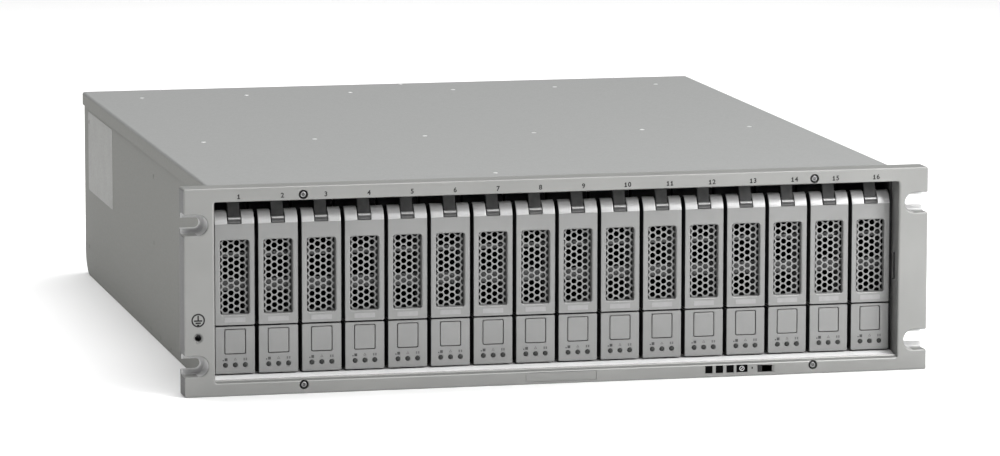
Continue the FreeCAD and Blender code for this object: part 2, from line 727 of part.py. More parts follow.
def make_lever():
    body = new_body("lever")
    sketch = new_sketch(body, "YZ_Plane")
    shoulder_top = f"({shoulder_z} + shoulder_rise)"
    shoulder_back = f"({face_y} + shoulder_run)"
    knee = (f"{face_y} + shoulder_lean", f"{shoulder_z} + shoulder_knee")
    boss_back = f"({pivot_y} + pivot_boss)"
    seat_low = f"({pivot_z} - pin_radius - pin_fit)"
    seat_high = f"({pivot_z} + pin_radius + pin_fit)"
    seat_front = f"({pivot_y} - pin_radius - pin_fit)"
    outline(sketch, [
        (face_y, lever_bottom),
        (face_y, shoulder_z),
        knee,
        (shoulder_back, shoulder_top),
        (f"{boss_back} - pivot_bevel", f"{pivot_z} + pivot_boss"),
        (boss_back, f"{pivot_z} + pivot_boss - pivot_bevel"),
        (boss_back, seat_high),
        (seat_front, seat_high),
        (seat_front, seat_low),
        (boss_back, seat_low),
        (boss_back, f"{pivot_z} - pivot_boss + pivot_bevel"),
        (f"{boss_back} - pivot_bevel", f"{pivot_z} - pivot_boss"),
        (f"{face_y} + lever_depth", f"{pivot_z} - pivot_slope"),
        (f"{face_y} + lever_depth", lever_bottom),
    ])
    pad(body, sketch, "face_width")

    sketch = new_sketch(body, "YZ_Plane")
    behind = f"({pivot_y} + 2 * pivot_boss)"
    outline(sketch, [
        (f"{face_y} + lever_plate", f"{lever_bottom} + lever_wall"),
        (f"{face_y} + lever_plate", f"{shoulder_z} + shoulder_knee - shoulder_lean"),
        (shoulder_back, f"{shoulder_top} - lever_plate"),
        (shoulder_back, f"{shoulder_top} + lever_plate"),
        (behind, f"{shoulder_top} + lever_plate"),
        (behind, f"{lever_bottom} + lever_wall"),
    ])
    cut(body, sketch, "face_width - 2 * lever_wall")

    sketch = new_sketch(body, "XZ_Plane", face_y)
    rectangle(sketch, "0 - tongue_width / 2 - tongue_gap", shoulder_z,
              "tongue_width / 2 + tongue_gap", f"{shoulder_top} + lever_plate")
    cut(body, sketch, "shoulder_run", 1)

    sketch = new_sketch(body, "XZ_Plane", face_y)
    grille_bottom = f"({lever_bottom} + grille_rise)"
    rectangle(sketch, "0 - grille_width / 2", grille_bottom,
              "grille_width / 2", f"{grille_bottom} + grille_height")
    cut(body, sketch, "grille_depth", 1)

    # The honeycomb has two columns of cells, staggered by half a row.
    row_pitch = "(cell_height + cell_web)"
    column_pitch = "(0.75 * cell_width + cell_web)"
    middle_z = f"({grille_bottom} + grille_height / 2)"
    for side, rows in ((-1, CELLS), (1, CELLS - 1)):
        cell_x = f"({side} * {column_pitch} / 2)"
        cell_z = f"({middle_z} - {(rows - 1) / 2} * {row_pitch})"
        sketch = new_sketch(body, "XZ_Plane", face_y)
        outline(sketch, [
            (f"{cell_x} - cell_width / 2", cell_z),
            (f"{cell_x} - cell_width / 4", f"{cell_z} - cell_height / 2"),
            (f"{cell_x} + cell_width / 4", f"{cell_z} - cell_height / 2"),
            (f"{cell_x} + cell_width / 2", cell_z),
            (f"{cell_x} + cell_width / 4", f"{cell_z} + cell_height / 2"),
            (f"{cell_x} - cell_width / 4", f"{cell_z} + cell_height / 2"),
        ])
        cell = cut(body, sketch, "lever_plate", 1)
        spread(body, cell, "Z_Axis", f"{rows - 1} * {row_pitch}", rows)
    return body


def make_tongue():
    body = new_body("tongue")
    inside = f"({face_y} + lever_plate)"
    lip_z = f"({shoulder_z} + tongue_lip)"
    top_z = f"({opening_top} - tongue_clearance)"
    sketch = new_sketch(body, "YZ_Plane")
    outline(sketch, [
        (inside, f"{shoulder_z} - tongue_foot"),
        (inside, shoulder_z),
        (f"{inside} - tongue_strip", shoulder_z),
        (f"{inside} - tongue_strip", lip_z),
        (inside, lip_z),
        (f"{inside} - tongue_strip + tongue_lean", top_z),
        (f"{inside} + tongue_lean", top_z),
        (f"{inside} + tongue_strip", f"{lip_z} - tongue_strip"),
        (f"{inside} + tongue_strip", f"{shoulder_z} - tongue_foot"),
    ])
    pad(body, sketch, "tongue_width")
    return body


def make_button():
    body = new_body("button")
    low = f"({face_bottom} + button_rise)"
    sketch = new_sketch(body, "XZ_Plane", face_y)
    rectangle(sketch, "0 - button_width / 2", low, "button_width / 2", f"{low} + button_height")
    pad(body, sketch, "button_depth", 1)
    dress(body, "Chamfer", "button_chamfer", lambda edge: runs_at(edge, y=face_y))
    return body


def make_drives():
    tray = make_tray()
    disk = make_disk()
    hinge_pin = make_hinge_pin()
    lever = make_lever()
    tongue = make_tongue()
    button = make_button()
    nodes = []
    for bay in range(BAYS):
        bay_x = f"{bay - (BAYS - 1) / 2} * bay_pitch"
        number = f"{bay + 1:02d}"
        nodes.append(place(group(f"drive_carrier_{number}", [tray, disk, hinge_pin]), x=bay_x))
        nodes.append(place(group(f"latch_lever_{number}", [lever, tongue]), x=bay_x))
        nodes.append(place(group(f"release_button_{number}", [button]), x=bay_x))
    return nodes


# Rear modules
def add_handle(body, left, bottom, length):
    """Bar handle with two posts on the module's rear face, lying along X."""
    reach = f"({rear_y} + handle_reach)"
    sketch = new_sketch(body, "XY_Plane", bottom)
    outline(sketch, [
        (left, module_back),
        (left, reach),
        (f"{left} + {length}", reach),
        (f"{left} + {length}", module_back),
        (f"{left} + {length} - handle_bar", module_back),
        (f"{left} + {length} - handle_bar", f"{reach} - handle_bar"),
        (f"{left} + handle_bar", f"{reach} - handle_bar"),
        (f"{left} + handle_bar", module_back),
    ])
    pad(body, sketch, "handle_height", 1)


def make_power_fan(label, side):
    """One full-height power module; side is -1 for the left one seen from the front."""
    left = f"(0 - {power_outer})" if side < 0 else power_inner
    body = new_body(f"{label}_case")
    sketch = new_sketch(body, "XZ_Plane", cage_y)
    rectangle(sketch, left, "sheet", f"{left} + power_width", module_top)
    pad(body, sketch, f"{module_back} - {cage_y}", 1)
    add_handle(body, f"({left} + power_width - power_handle_inset - power_handle)",
               "(sheet + power_handle_rise)", "power_handle")

    sketch = new_sketch(body, "XZ_Plane", module_back)
    circle(sketch, f"{side} * {fan_x}", fan_z, "fan_radius")
    cut(body, sketch, "fan_depth", -1)
    sketch = new_sketch(body, "XZ_Plane", module_back)
    faceted_circle(sketch, f"{side} * {fan_x}", fan_z, "axle_radius + axle_fit")
    cut(body, sketch, "fan_depth + axle_length", -1)
    sketch = new_sketch(body, "XZ_Plane", module_back)
    rectangle(sketch, f"{left} + inlet_inset", "sheet + inlet_rise - inlet_height / 2",
              f"{left} + inlet_inset + inlet_width", "sheet + inlet_rise + inlet_height / 2")
    cut(body, sketch, "inlet_depth", -1)

    guard = new_body(f"{label}_guard")
    span = "(fan_radius + guard_bar)"
    sketch = new_sketch(guard, "XZ_Plane", module_back)
    middle_x = f"({side} * {fan_x})"
    rectangle(sketch, f"{middle_x} - {span}", f"{fan_z} - guard_bar / 2",
              f"{middle_x} + {span}", f"{fan_z} + guard_bar / 2")
    pad(guard, sketch, "guard_depth", 1)
    sketch = new_sketch(guard, "XZ_Plane", module_back)
    rectangle(sketch, f"{middle_x} - guard_bar / 2", f"{fan_z} - {span}",
              f"{middle_x} + guard_bar / 2", f"{fan_z} + {span}")
    pad(guard, sketch, "guard_depth", 1)
    return group(label, [body, guard])


def make_fan_rotor(label, side):
    body = new_body(f"{label}_wheel")
    hub_y = f"({module_back} - fan_setback)"
    sketch = new_sketch(body, "XZ_Plane", hub_y)
    faceted_circle(sketch, "0", "0", "hub_radius", 2 * BLADES)
    pad(body, sketch, "hub_depth", -1)
    sketch = new_sketch(body, "XZ_Plane", f"{hub_y} - hub_depth / 2")
    faceted_circle(sketch, "0", "0", "axle_radius")
    pad(body, sketch, "fan_depth + axle_length - fan_setback - hub_depth / 2", -1)

    sketch = new_sketch(body, "XY_Plane", "hub_radius / 2")
    outline(sketch, [
        ("0 - blade_sweep / 2", f"{hub_y} - hub_depth + blade_thickness"),
        ("blade_thickness - blade_sweep / 2", f"{hub_y} - hub_depth + blade_thickness"),
        ("blade_sweep / 2", f"{hub_y} - blade_thickness"),
        ("blade_sweep / 2 - blade_thickness", f"{hub_y} - blade_thickness"),
    ])
    blade = pad(body, sketch, "fan_radius - blade_gap - hub_radius / 2", 1)
    wheel = body.newObject("PartDesign::PolarPattern", "PolarPattern")
    wheel.Originals = [blade]
    wheel.Axis = (plane_of(body, "Y_Axis"), [""])
    wheel.Angle = 360
    wheel.Occurrences = BLADES
    body.Tip = wheel
    return place(group(label, [body]), x=f"{side} * {fan_x}", z=fan_z)


def make_io_module(label, bottom):
    body = new_body(label)
    left = f"(0 - {control_side})"
    sketch = new_sketch(body, "XZ_Plane", cage_y)
    rectangle(sketch, left, bottom, control_side, f"{bottom} + {control_height}")
    pad(body, sketch, f"{module_back} - {cage_y}", 1)
    add_handle(body, f"({control_side} - control_handle_inset - control_handle)",
               f"({bottom} + control_handle_rise)", "control_handle")

    port_z = f"({bottom} + port_rise)"
    sketch = new_sketch(body, "XZ_Plane", module_back)
    port_x = f"({left} + port_inset)"
    rectangle(sketch, port_x, f"{port_z} - port_height / 2", f"{port_x} + port_width",
              f"{port_z} + port_height / 2")
    port = cut(body, sketch, "port_depth", -1)
    spread(body, port, "X_Axis", "3 * port_pitch", 4)
    sketch = new_sketch(body, "XZ_Plane", module_back)
    jack_x = f"({left} + jack_inset)"
    rectangle(sketch, jack_x, f"{port_z} - jack_height / 2", f"{jack_x} + jack_width",
              f"{port_z} + jack_height / 2")
    cut(body, sketch, "jack_depth", -1)
    return body


nodes = [
    make_front_frame(),
    make_frame_screws(),
    make_rate_switch(),
    make_chassis_pan(),
    make_top_cover(),
    make_midplane_board(),
    make_power_fan("power_fan_left", -1),
    make_power_fan("power_fan_right", 1),
    make_fan_rotor("fan_rotor_left", -1),
    make_fan_rotor("fan_rotor_right", 1),
    make_io_module("io_module_lower", "sheet"),
    make_io_module("io_module_upper", f"({shelf_z} + sheet)"),
]
nodes += make_drives()
doc.recompute()

for item in doc.Objects:
    if "Invalid" in item.State or "Error" in item.State:
        raise RuntimeError(f"{item.Label} failed: {item.State}")
for node in nodes:
    if node.Shape.isNull() or not node.Shape.isValid() or not node.Shape.Solids:
        raise RuntimeError(f"{node.Label} has no valid solid")

os.makedirs("parts", exist_ok=True)
for node in nodes:
    node.Shape.exportStep(f"parts/{node.Label}.step")
    print(node.Label, len(node.Shape.Solids), "solids", round(node.Shape.Volume / 1000, 2), "cm3")
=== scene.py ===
import math
import bpy
from mathutils import Matrix, Vector


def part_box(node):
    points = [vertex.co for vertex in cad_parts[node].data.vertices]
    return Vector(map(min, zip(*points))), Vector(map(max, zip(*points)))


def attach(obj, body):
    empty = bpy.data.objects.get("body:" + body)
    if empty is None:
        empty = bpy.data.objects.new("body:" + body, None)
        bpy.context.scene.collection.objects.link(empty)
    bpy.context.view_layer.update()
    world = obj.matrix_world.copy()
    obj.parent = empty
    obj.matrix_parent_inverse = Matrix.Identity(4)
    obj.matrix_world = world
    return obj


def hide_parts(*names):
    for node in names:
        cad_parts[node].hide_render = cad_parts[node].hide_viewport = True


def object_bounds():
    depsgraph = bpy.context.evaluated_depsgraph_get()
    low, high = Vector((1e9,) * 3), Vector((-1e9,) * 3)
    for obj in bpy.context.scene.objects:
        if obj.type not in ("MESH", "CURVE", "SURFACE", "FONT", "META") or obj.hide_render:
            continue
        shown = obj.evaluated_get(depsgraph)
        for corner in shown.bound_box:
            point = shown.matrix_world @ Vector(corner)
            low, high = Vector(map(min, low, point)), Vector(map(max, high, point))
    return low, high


# Rack storage array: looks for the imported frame. Metres, front toward -Y.
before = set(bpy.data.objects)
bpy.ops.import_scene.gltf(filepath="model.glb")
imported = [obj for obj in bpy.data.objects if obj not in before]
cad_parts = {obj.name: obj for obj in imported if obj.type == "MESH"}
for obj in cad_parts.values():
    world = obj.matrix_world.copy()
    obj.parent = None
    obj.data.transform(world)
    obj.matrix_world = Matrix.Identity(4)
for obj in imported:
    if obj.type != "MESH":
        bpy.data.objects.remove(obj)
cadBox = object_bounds()
mm = 0.001
bays = [f"{number:02d}" for number in range(1, 17)]


# Selecting and shaping
def clearSelection():
    if bpy.context.object and bpy.context.object.mode != "OBJECT":
        bpy.ops.object.mode_set(mode="OBJECT")
    bpy.ops.object.select_all(action="DESELECT")


def makeActive(piece):
    clearSelection()
    piece.select_set(True)
    bpy.context.view_layer.objects.active = piece


def bakePlace(piece):
    makeActive(piece)
    bpy.ops.object.transform_apply(location=True, rotation=True, scale=True)


def editAll(piece):
    makeActive(piece)
    bpy.ops.object.mode_set(mode="EDIT")
    bpy.ops.mesh.select_mode(type="FACE")
    bpy.ops.mesh.select_all(action="SELECT")


def leaveEdit():
    bpy.ops.object.mode_set(mode="OBJECT")


def editFaces(piece, wanted):
    # faces are picked by a test on their centre and normal
    editAll(piece)
    bpy.ops.mesh.select_all(action="DESELECT")
    leaveEdit()
    for face in piece.data.polygons:
        face.select = wanted(face.center, face.normal)
    bpy.ops.object.mode_set(mode="EDIT")


def editEdges(piece, wanted):
    # edges are picked by a test on their two ends
    editAll(piece)
    bpy.ops.mesh.select_all(action="DESELECT")
    bpy.ops.mesh.select_mode(type="EDGE")
    leaveEdit()
    points = piece.data.vertices
    for edge in piece.data.edges:
        edge.select = wanted(points[edge.vertices[0]].co, points[edge.vertices[1]].co)
    bpy.ops.object.mode_set(mode="EDIT")


def turnOutward(piece):
    editAll(piece)
    bpy.ops.mesh.normals_make_consistent(inside=False)
    leaveEdit()


def splitAt(piece, point, normal):
    editAll(piece)
    bpy.ops.mesh.bisect(plane_co=point, plane_no=normal)
    leaveEdit()


def addBlock(name, low, high):
    low = Vector(low)
    high = Vector(high)
    clearSelection()
    bpy.ops.mesh.primitive_cube_add(size=1, location=(low + high) / 2, scale=high - low)
    piece = bpy.context.object
    piece.name = name
    bakePlace(piece)
    return piece


axisTurns = {"X": (0, math.pi / 2, 0), "Y": (math.pi / 2, 0, 0), "Z": (0, 0, 0)}


def addRod(name, middle, radius, length, axis="Y", sides=32):
    clearSelection()
    bpy.ops.mesh.primitive_cylinder_add(
        vertices=sides, radius=radius, depth=length, location=middle, rotation=axisTurns[axis])
    piece = bpy.context.object
    piece.name = name
    bakePlace(piece)
    return piece


def addCone(name, middle, backRadius, frontRadius, length, sides=40):
    # cone along Y whose second radius is at the front
    clearSelection()
    bpy.ops.mesh.primitive_cone_add(
        vertices=sides, radius1=backRadius, radius2=frontRadius, depth=length,
        location=middle, rotation=axisTurns["Y"])
    piece = bpy.context.object
    piece.name = name
    bakePlace(piece)
    return piece


def addRing(name, middle, radius, wire, sides=56):
    clearSelection()
    bpy.ops.mesh.primitive_torus_add(
        major_radius=radius, minor_radius=wire, major_segments=sides, minor_segments=8,
        location=middle, rotation=axisTurns["Y"])
    piece = bpy.context.object
    piece.name = name
    bakePlace(piece)
    return piece


def addStud(middle, radius, lift, axis):
    # low dome, half sunk in the surface that it stands on
    clearSelection()
    bpy.ops.mesh.primitive_uv_sphere_add(segments=20, ring_count=10, radius=radius, location=middle)
    stud = bpy.context.object
    scale = [1, 1, 1]
    scale["XYZ".index(axis)] = lift / radius
    stud.scale = scale
    bakePlace(stud)
    return stud


def addPrism(name, corners, push):
    # one corner is extruded round the outline, filled, and the face is pushed out
    corners = [Vector(corner) for corner in corners]
    clearSelection()
    bpy.ops.mesh.primitive_plane_add(size=mm, location=(0, 0, 0))
    piece = bpy.context.object
    piece.name = name
    bpy.ops.object.mode_set(mode="EDIT")
    bpy.ops.mesh.select_mode(type="VERT")
    bpy.ops.mesh.select_all(action="SELECT")
    bpy.ops.mesh.merge(type="CENTER")
    bpy.ops.transform.translate(value=corners[0])
    for here, there in zip(corners, corners[1:]):
        bpy.ops.mesh.extrude_vertices_move(TRANSFORM_OT_translate={"value": there - here})
    bpy.ops.mesh.select_all(action="SELECT")
    bpy.ops.mesh.edge_face_add()
    bpy.ops.mesh.extrude_region_move(TRANSFORM_OT_translate={"value": Vector(push)})
    leaveEdit()
    turnOutward(piece)
    return piece


def applyModifier(piece, kind, **settings):
    makeActive(piece)
    modifier = piece.modifiers.new(kind, kind)
    for key, value in settings.items():
        setattr(modifier, key, value)
    bpy.ops.object.modifier_apply(modifier=modifier.name)


def carve(piece, tool):
    applyModifier(piece, "BOOLEAN", operation="DIFFERENCE", solver="EXACT", object=tool)
    bpy.data.objects.remove(tool)


def carveBlock(piece, low, high):
    carve(piece, addBlock("cutter", low, high))


def weld(piece, addition):
    applyModifier(piece, "BOOLEAN", operation="UNION", solver="EXACT", object=addition)
    bpy.data.objects.remove(addition)


def roundBlock(name, low, high, radius, axis=1, segments=4):
    # block whose edges along one axis are rounded
    piece = addBlock(name, low, high)
    editEdges(piece, lambda p, q: abs((p - q).normalized()[axis]) > 0.9)
    bpy.ops.mesh.bevel(offset=radius, segments=segments)
    leaveEdit()
    return piece


def roundEdges(piece, width, segments=2, angle=40):
    applyModifier(
        piece, "BEVEL", width=width, segments=segments, limit_method="ANGLE",
        angle_limit=math.radians(angle), use_clamp_overlap=False, miter_outer="MITER_ARC")


def smoothShade(piece, angle=42):
    makeActive(piece)
    bpy.ops.object.shade_smooth_by_angle(angle=math.radians(angle))
    applyModifier(piece, "WEIGHTED_NORMAL", keep_sharp=True, weight=80)


def joinPieces(name, parts):
    clearSelection()
    for part in parts:
        part.select_set(True)
    bpy.context.view_layer.objects.active = parts[0]
    bpy.ops.object.join()
    parts[0].name = name
    return parts[0]


def looseParts(piece):
    editAll(piece)
    bpy.ops.mesh.separate(type="LOOSE")
    leaveEdit()
    return list(bpy.context.selected_objects)


def copyPiece(master, name, shift=(0, 0, 0)):
    piece = bpy.data.objects.new(name, master.data.copy())
    piece.data.name = name
    piece.data.transform(Matrix.Translation(shift))
    bpy.context.collection.objects.link(piece)
    return piece


def copyNode(node, name, cuts=()):
    # the node's loose triangles are merged in the copy, and flat areas become single faces;
    # faces with holes are kept split at the heights in cuts
    piece = copyPiece(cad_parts[node], name)
    piece.data.materials.clear()
    editAll(piece)
    bpy.ops.mesh.customdata_custom_splitnormals_clear()
    bpy.ops.mesh.remove_doubles(threshold=0.002 * mm)
    for height in cuts:
        bpy.ops.mesh.select_all(action="SELECT")
        bpy.ops.mesh.bisect(plane_co=(0, 0, height), plane_no=(0, 0, 1))
        bpy.ops.mesh.mark_seam()
    bpy.ops.mesh.select_all(action="SELECT")
    bpy.ops.mesh.dissolve_limited(angle_limit=math.radians(0.5), delimit={"SEAM"})
    leaveEdit()
    return piece


def dress(piece, finish):
    piece.data.materials.clear()
    piece.data.materials.append(finishes[finish])
    return piece


def dressFaces(piece, finish, wanted):
    # a second finish on the faces that the test picks
    piece.data.materials.append(finishes[finish])
    index = len(piece.data.materials) - 1
    for face in piece.data.polygons:
        if wanted(face.center, face.normal):
            face.material_index = index


def finishPiece(piece, finish, edge, segments=2, angle=40):
    # rounded edges, smooth shading and a finish
    roundEdges(piece, edge, segments, angle)
    smoothShade(piece)
    return dress(piece, finish)


def settle(piece, body, slot, *nodes):
    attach(piece, body)
    if nodes:
        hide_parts(*nodes)
    return piece


# Finishes
def newFinish(name, colour, roughness, metallic, specular):
    finish = bpy.data.materials.new(name)
    finish.use_nodes = True
    shader = finish.node_tree.nodes["Principled BSDF"]
    shader.inputs["Base Color"].default_value = (*colour, 1)
    shader.inputs["Roughness"].default_value = roughness
    shader.inputs["Metallic"].default_value = metallic
    shader.inputs["Specular IOR Level"].default_value = specular
    return finish


def addNoise(finish, scale, detail=3.0, stretch=(1, 1, 1)):
    tree = finish.node_tree
    place = tree.nodes.get("Texture Coordinate") or tree.nodes.new("ShaderNodeTexCoord")
    mapping = tree.nodes.new("ShaderNodeMapping")
    mapping.inputs["Scale"].default_value = stretch
    noise = tree.nodes.new("ShaderNodeTexNoise")
    noise.inputs["Scale"].default_value = scale
    noise.inputs["Detail"].default_value = detail
    tree.links.new(place.outputs["Object"], mapping.inputs["Vector"])
    tree.links.new(mapping.outputs["Vector"], noise.inputs["Vector"])
    return noise.outputs["Fac"]


def varyColour(finish, noise, dark, light, low=0.3, high=0.7):
    tree = finish.node_tree
    ramp = tree.nodes.new("ShaderNodeValToRGB")
    ramp.color_ramp.elements[0].position = low
    ramp.color_ramp.elements[1].position = high
    ramp.color_ramp.elements[0].color = (*dark, 1)
    ramp.color_ramp.elements[1].color = (*light, 1)
    tree.links.new(noise, ramp.inputs["Fac"])
    tree.links.new(ramp.outputs["Color"], tree.nodes["Principled BSDF"].inputs["Base Color"])


def varyRoughness(finish, noise, low, high):
    tree = finish.node_tree
    spread = tree.nodes.new("ShaderNodeMapRange")
    spread.inputs["From Min"].default_value = 0.3
    spread.inputs["From Max"].default_value = 0.7
    spread.inputs["To Min"].default_value = low
    spread.inputs["To Max"].default_value = high
    tree.links.new(noise, spread.inputs["Value"])
    tree.links.new(spread.outputs["Result"], tree.nodes["Principled BSDF"].inputs["Roughness"])


def addBump(finish, noise, strength, depth):
    tree = finish.node_tree
    bump = tree.nodes.new("ShaderNodeBump")
    bump.inputs["Strength"].default_value = strength
    bump.inputs["Distance"].default_value = depth
    tree.links.new(noise, bump.inputs["Height"])
    tree.links.new(bump.outputs["Normal"], tree.nodes["Principled BSDF"].inputs["Normal"])


def makeFinish(name, tone, spread, roughness, metallic, patch, grain, bump, stretch=(1, 1, 1), specular=0.5):
    # patches change the colour by the spread, grain changes the gloss and the relief
    tone = (tone, tone, tone) if isinstance(tone, float) else tone
    dark = [part * (1 - spread) for part in tone]
    light = [part * (1 + spread) for part in tone]
    finish = newFinish(name, tone, roughness[0], metallic, specular)
    varyColour(finish, addNoise(finish, patch, 4.0, stretch), dark, light)
    fine = addNoise(finish, grain, 2.0, stretch)
    varyRoughness(finish, fine, *roughness)
    addBump(finish, fine, bump, 0.05 * mm)
    return finish


paint = {
    "frame": (0.236, 0.237, 0.230),
    "chassis": (0.203, 0.206, 0.203),
    # painted shade: the sides' tone is set for the light that the side faces get
    "side": (0.196, 0.197, 0.185),
    "drive": (0.220, 0.221, 0.218),
}
lengthwise = (1, 0.15, 1)
crosswise = (0.2, 1, 1)
finishes = {
    "framePaint": makeFinish("frame_paint", paint["frame"], 0.04, (0.34, 0.44), 0.35, 28, 2600, 0.20),
    # painted shade: a dark copy of the frame paint for the frame's outer side faces
    "frameFlankShade": makeFinish("frame_flank_painted_shade", 0.040, 0.04, (0.40, 0.50), 0.25, 28, 2600, 0.20),
    "chassisPaint": makeFinish("chassis_paint", paint["chassis"], 0.035, (0.62, 0.74), 0.0, 420, 1500, 0.35, specular=0.3),
    # painted shade: the chassis paint in the tone set for the side faces
    "chassisSideShade": makeFinish("chassis_side_painted_shade", paint["side"], 0.035, (0.62, 0.74), 0.0, 420, 1500, 0.35, specular=0.3),
    "driveSilver": makeFinish("drive_silver", paint["drive"], 0.04, (0.34, 0.44), 0.35, 40, 3200, 0.15),
    # painted highlight: a lighter, glossier copy of the drive silver for the shoulders
    "shoulderHighlight": makeFinish("shoulder_painted_highlight", 0.50, 0.04, (0.34, 0.42), 0.45, 40, 3200, 0.12),
    # painted light: a light paint for the floors and walls inside the rack slots' recesses
    "recessLight": makeFinish("recess_painted_light", 0.50, 0.04, (0.45, 0.55), 0.10, 28, 2600, 0.20),
    # painted light: a lighter copy of the tongue's dark steel for the lip's front face
    "lipLitSteel": makeFinish("lip_steel_painted_light", 0.085, 0.2, (0.36, 0.50), 0.30, 240, 2400, 0.15),
    # painted shade: near black for faces that sit in gaps, holes and wells
    "paintedShade": makeFinish("dark_painted_shade", 0.028, 0.3, (0.55, 0.70), 0.0, 120, 1800, 0.20, specular=0.2),
    # painted shade: near black for the inside of the chassis and the modules
    "innerShade": makeFinish("inner_painted_shade", 0.022, 0.3, (0.55, 0.75), 0.0, 60, 1200, 0.20, specular=0.2),
    # dark steel of the tongue, also used as painted shade on the screw socket floors
    "darkSteelAndShade": makeFinish("dark_steel", 0.045, 0.2, (0.36, 0.50), 0.30, 240, 2400, 0.15),
    # painted highlight: light steel for glints on the lip's fold and the top studs
    "highlightSteel": makeFinish("steel_painted_highlight", 0.48, 0.15, (0.30, 0.40), 0.60, 500, 2400, 0.10),
    # painted shading: a flat grey for the ribs behind the grille and the lip's flanks
    "greyShading": makeFinish("grey_painted_shading", 0.07, 0.2, (0.50, 0.65), 0.0, 200, 2000, 0.20),
    "traySteel": makeFinish("tray_steel", 0.25, 0.16, (0.54, 0.68), 0.20, 90, 900, 0.12, lengthwise, specular=0.35),
    "diskCast": makeFinish("disk_casting", 0.16, 0.15, (0.42, 0.58), 0.70, 110, 1400, 0.30),
    "diskLid": makeFinish("disk_lid", 0.36, 0.07, (0.36, 0.48), 0.60, 60, 1800, 0.10, lengthwise),
    "moduleMetal": makeFinish("module_metal", 0.23, 0.12, (0.58, 0.70), 0.10, 70, 1100, 0.12, crosswise, specular=0.35),
    "blackPlastic": makeFinish("black_plastic", 0.018, 0.25, (0.40, 0.58), 0.0, 160, 2200, 0.25),
    "windowBlack": makeFinish("window_black", 0.002, 0.25, (0.50, 0.60), 0.0, 300, 2000, 0.05, specular=0.02),
    # painted light: near white for the ledge and the strip under the drives
    "ledgeHighlight": makeFinish("ledge_painted_highlight", 0.82, 0.05, (0.30, 0.42), 0.15, 60, 2600, 0.10),
    "boardGreen": makeFinish("board_green", (0.008, 0.050, 0.027), 0.25, (0.30, 0.42), 0.0, 90, 1600, 0.15),
    "screwSteel": makeFinish("screw_steel", 0.27, 0.22, (0.25, 0.40), 0.90, 500, 3000, 0.10),
    "ink": makeFinish("print_ink", 0.014, 0.3, (0.50, 0.60), 0.0, 700, 3000, 0.05, specular=0.2),
    "greyInk": makeFinish("grey_ink", 0.048, 0.2, (0.50, 0.60), 0.0, 700, 3000, 0.05, specular=0.3),
    "faintInk": makeFinish("faint_ink", 0.085, 0.15, (0.45, 0.55), 0.1, 700, 3000, 0.05),
    "paleIcon": makeFinish("pale_icon", 0.38, 0.10, (0.40, 0.50), 0.0, 700, 3000, 0.05),
    "ledLens": makeFinish("led_lens", (0.022, 0.023, 0.022), 0.15, (0.45, 0.55), 0.0, 500, 900, 0.05, specular=0.3),
    "labelPlate": makeFinish("label_plate", 0.278, 0.05, (0.38, 0.48), 0.35, 300, 3000, 0.05),
    "stickerPaper": makeFinish("sticker_paper", (0.240, 0.241, 0.230), 0.05, (0.45, 0.60), 0.0, 60, 900, 0.08),
    "greenLens": makeFinish("green_lens", (0.014, 0.075, 0.024), 0.2, (0.14, 0.22), 0.0, 500, 900, 0.05),
    "gold": makeFinish("contact_gold", (0.44, 0.31, 0.12), 0.1, (0.22, 0.34), 1.0, 400, 2600, 0.05),
}
print("finishes ready")

# Camera, at the photograph's viewing angle for an image 1000 pixels wide
cameraView = {
    "place": (-0.8109, -3.5703, 0.5956),
    "yaw": 13.168,
    "pitch": -8.32,
    "roll": 0.067,
    "focalPixels": 5444.5,
    "imageWidth": 1000,
    "sensor": 36.0,
}


def placeCamera():
    clearSelection()
    bpy.ops.object.camera_add()
    camera = bpy.context.object
    camera.data.sensor_width = cameraView["sensor"]
    camera.data.lens = cameraView["sensor"] * cameraView["focalPixels"] / cameraView["imageWidth"]
    turn = Matrix.Rotation(math.radians(-cameraView["yaw"]), 4, "Z")
    tilt = Matrix.Rotation(math.radians(90 + cameraView["pitch"]), 4, "X")
    roll = Matrix.Rotation(math.radians(cameraView["roll"]), 4, "Z")
    camera.matrix_world = Matrix.Translation(cameraView["place"]) @ turn @ tilt @ roll
    bpy.context.scene.camera = camera


# Floor and light
studio = {
    "floorSize": 14.0,
    "floorTone": 0.94,
    "sky": 0.045,
    "lamps": [
        ("overheadLamp", (0.1, 1.0, 2.6), (3.6, 2.4), 121),
        ("frontLamp", (0.5, -1.75, 2.0), (2.4, 0.8), 34),
        ("rightLamp", (0.95, -1.15, 0.55), (0.6, 0.6), 10.0),
        ("leftLamp", (-2.0, -0.2, 0.3), (1.4, 0.5), 7.0),
        ("highLamp", (1.1, -1.3, 1.3), (0.8, 0.8), 22),
    ],
}
finishes["floorPaper"] = makeFinish("floor_paper", studio["floorTone"], 0.01, (0.75, 0.85), 0.0, 3, 220, 0.02)


def lightStudio():
    clearSelection()
    bpy.ops.mesh.primitive_plane_add(size=studio["floorSize"], location=(0, 0, cadBox[0].z))
    floor = bpy.context.object
    floor.name = "floor"
    dress(floor, "floorPaper")
    middle = (cadBox[0] + cadBox[1]) / 2
    for name, place, size, power in studio["lamps"]:
        clearSelection()
        bpy.ops.object.light_add(type="AREA", location=place)
        lamp = bpy.context.object
        lamp.name = name
        lamp.data.shape = "RECTANGLE"
        lamp.data.size, lamp.data.size_y = size
        lamp.data.energy = power
        lamp.rotation_euler = (middle - Vector(place)).to_track_quat("-Z", "Y").to_euler()
    scene = bpy.context.scene
    scene.view_settings.view_transform = "Standard"
    world = bpy.data.worlds.new("studio_sky")
    world.use_nodes = True
    world.node_tree.nodes["Background"].inputs["Color"].default_value = (1, 1, 1, 1)
    world.node_tree.nodes["Background"].inputs["Strength"].default_value = studio["sky"]
    scene.world = world


placeCamera()
lightStudio()
print("camera and light placed")

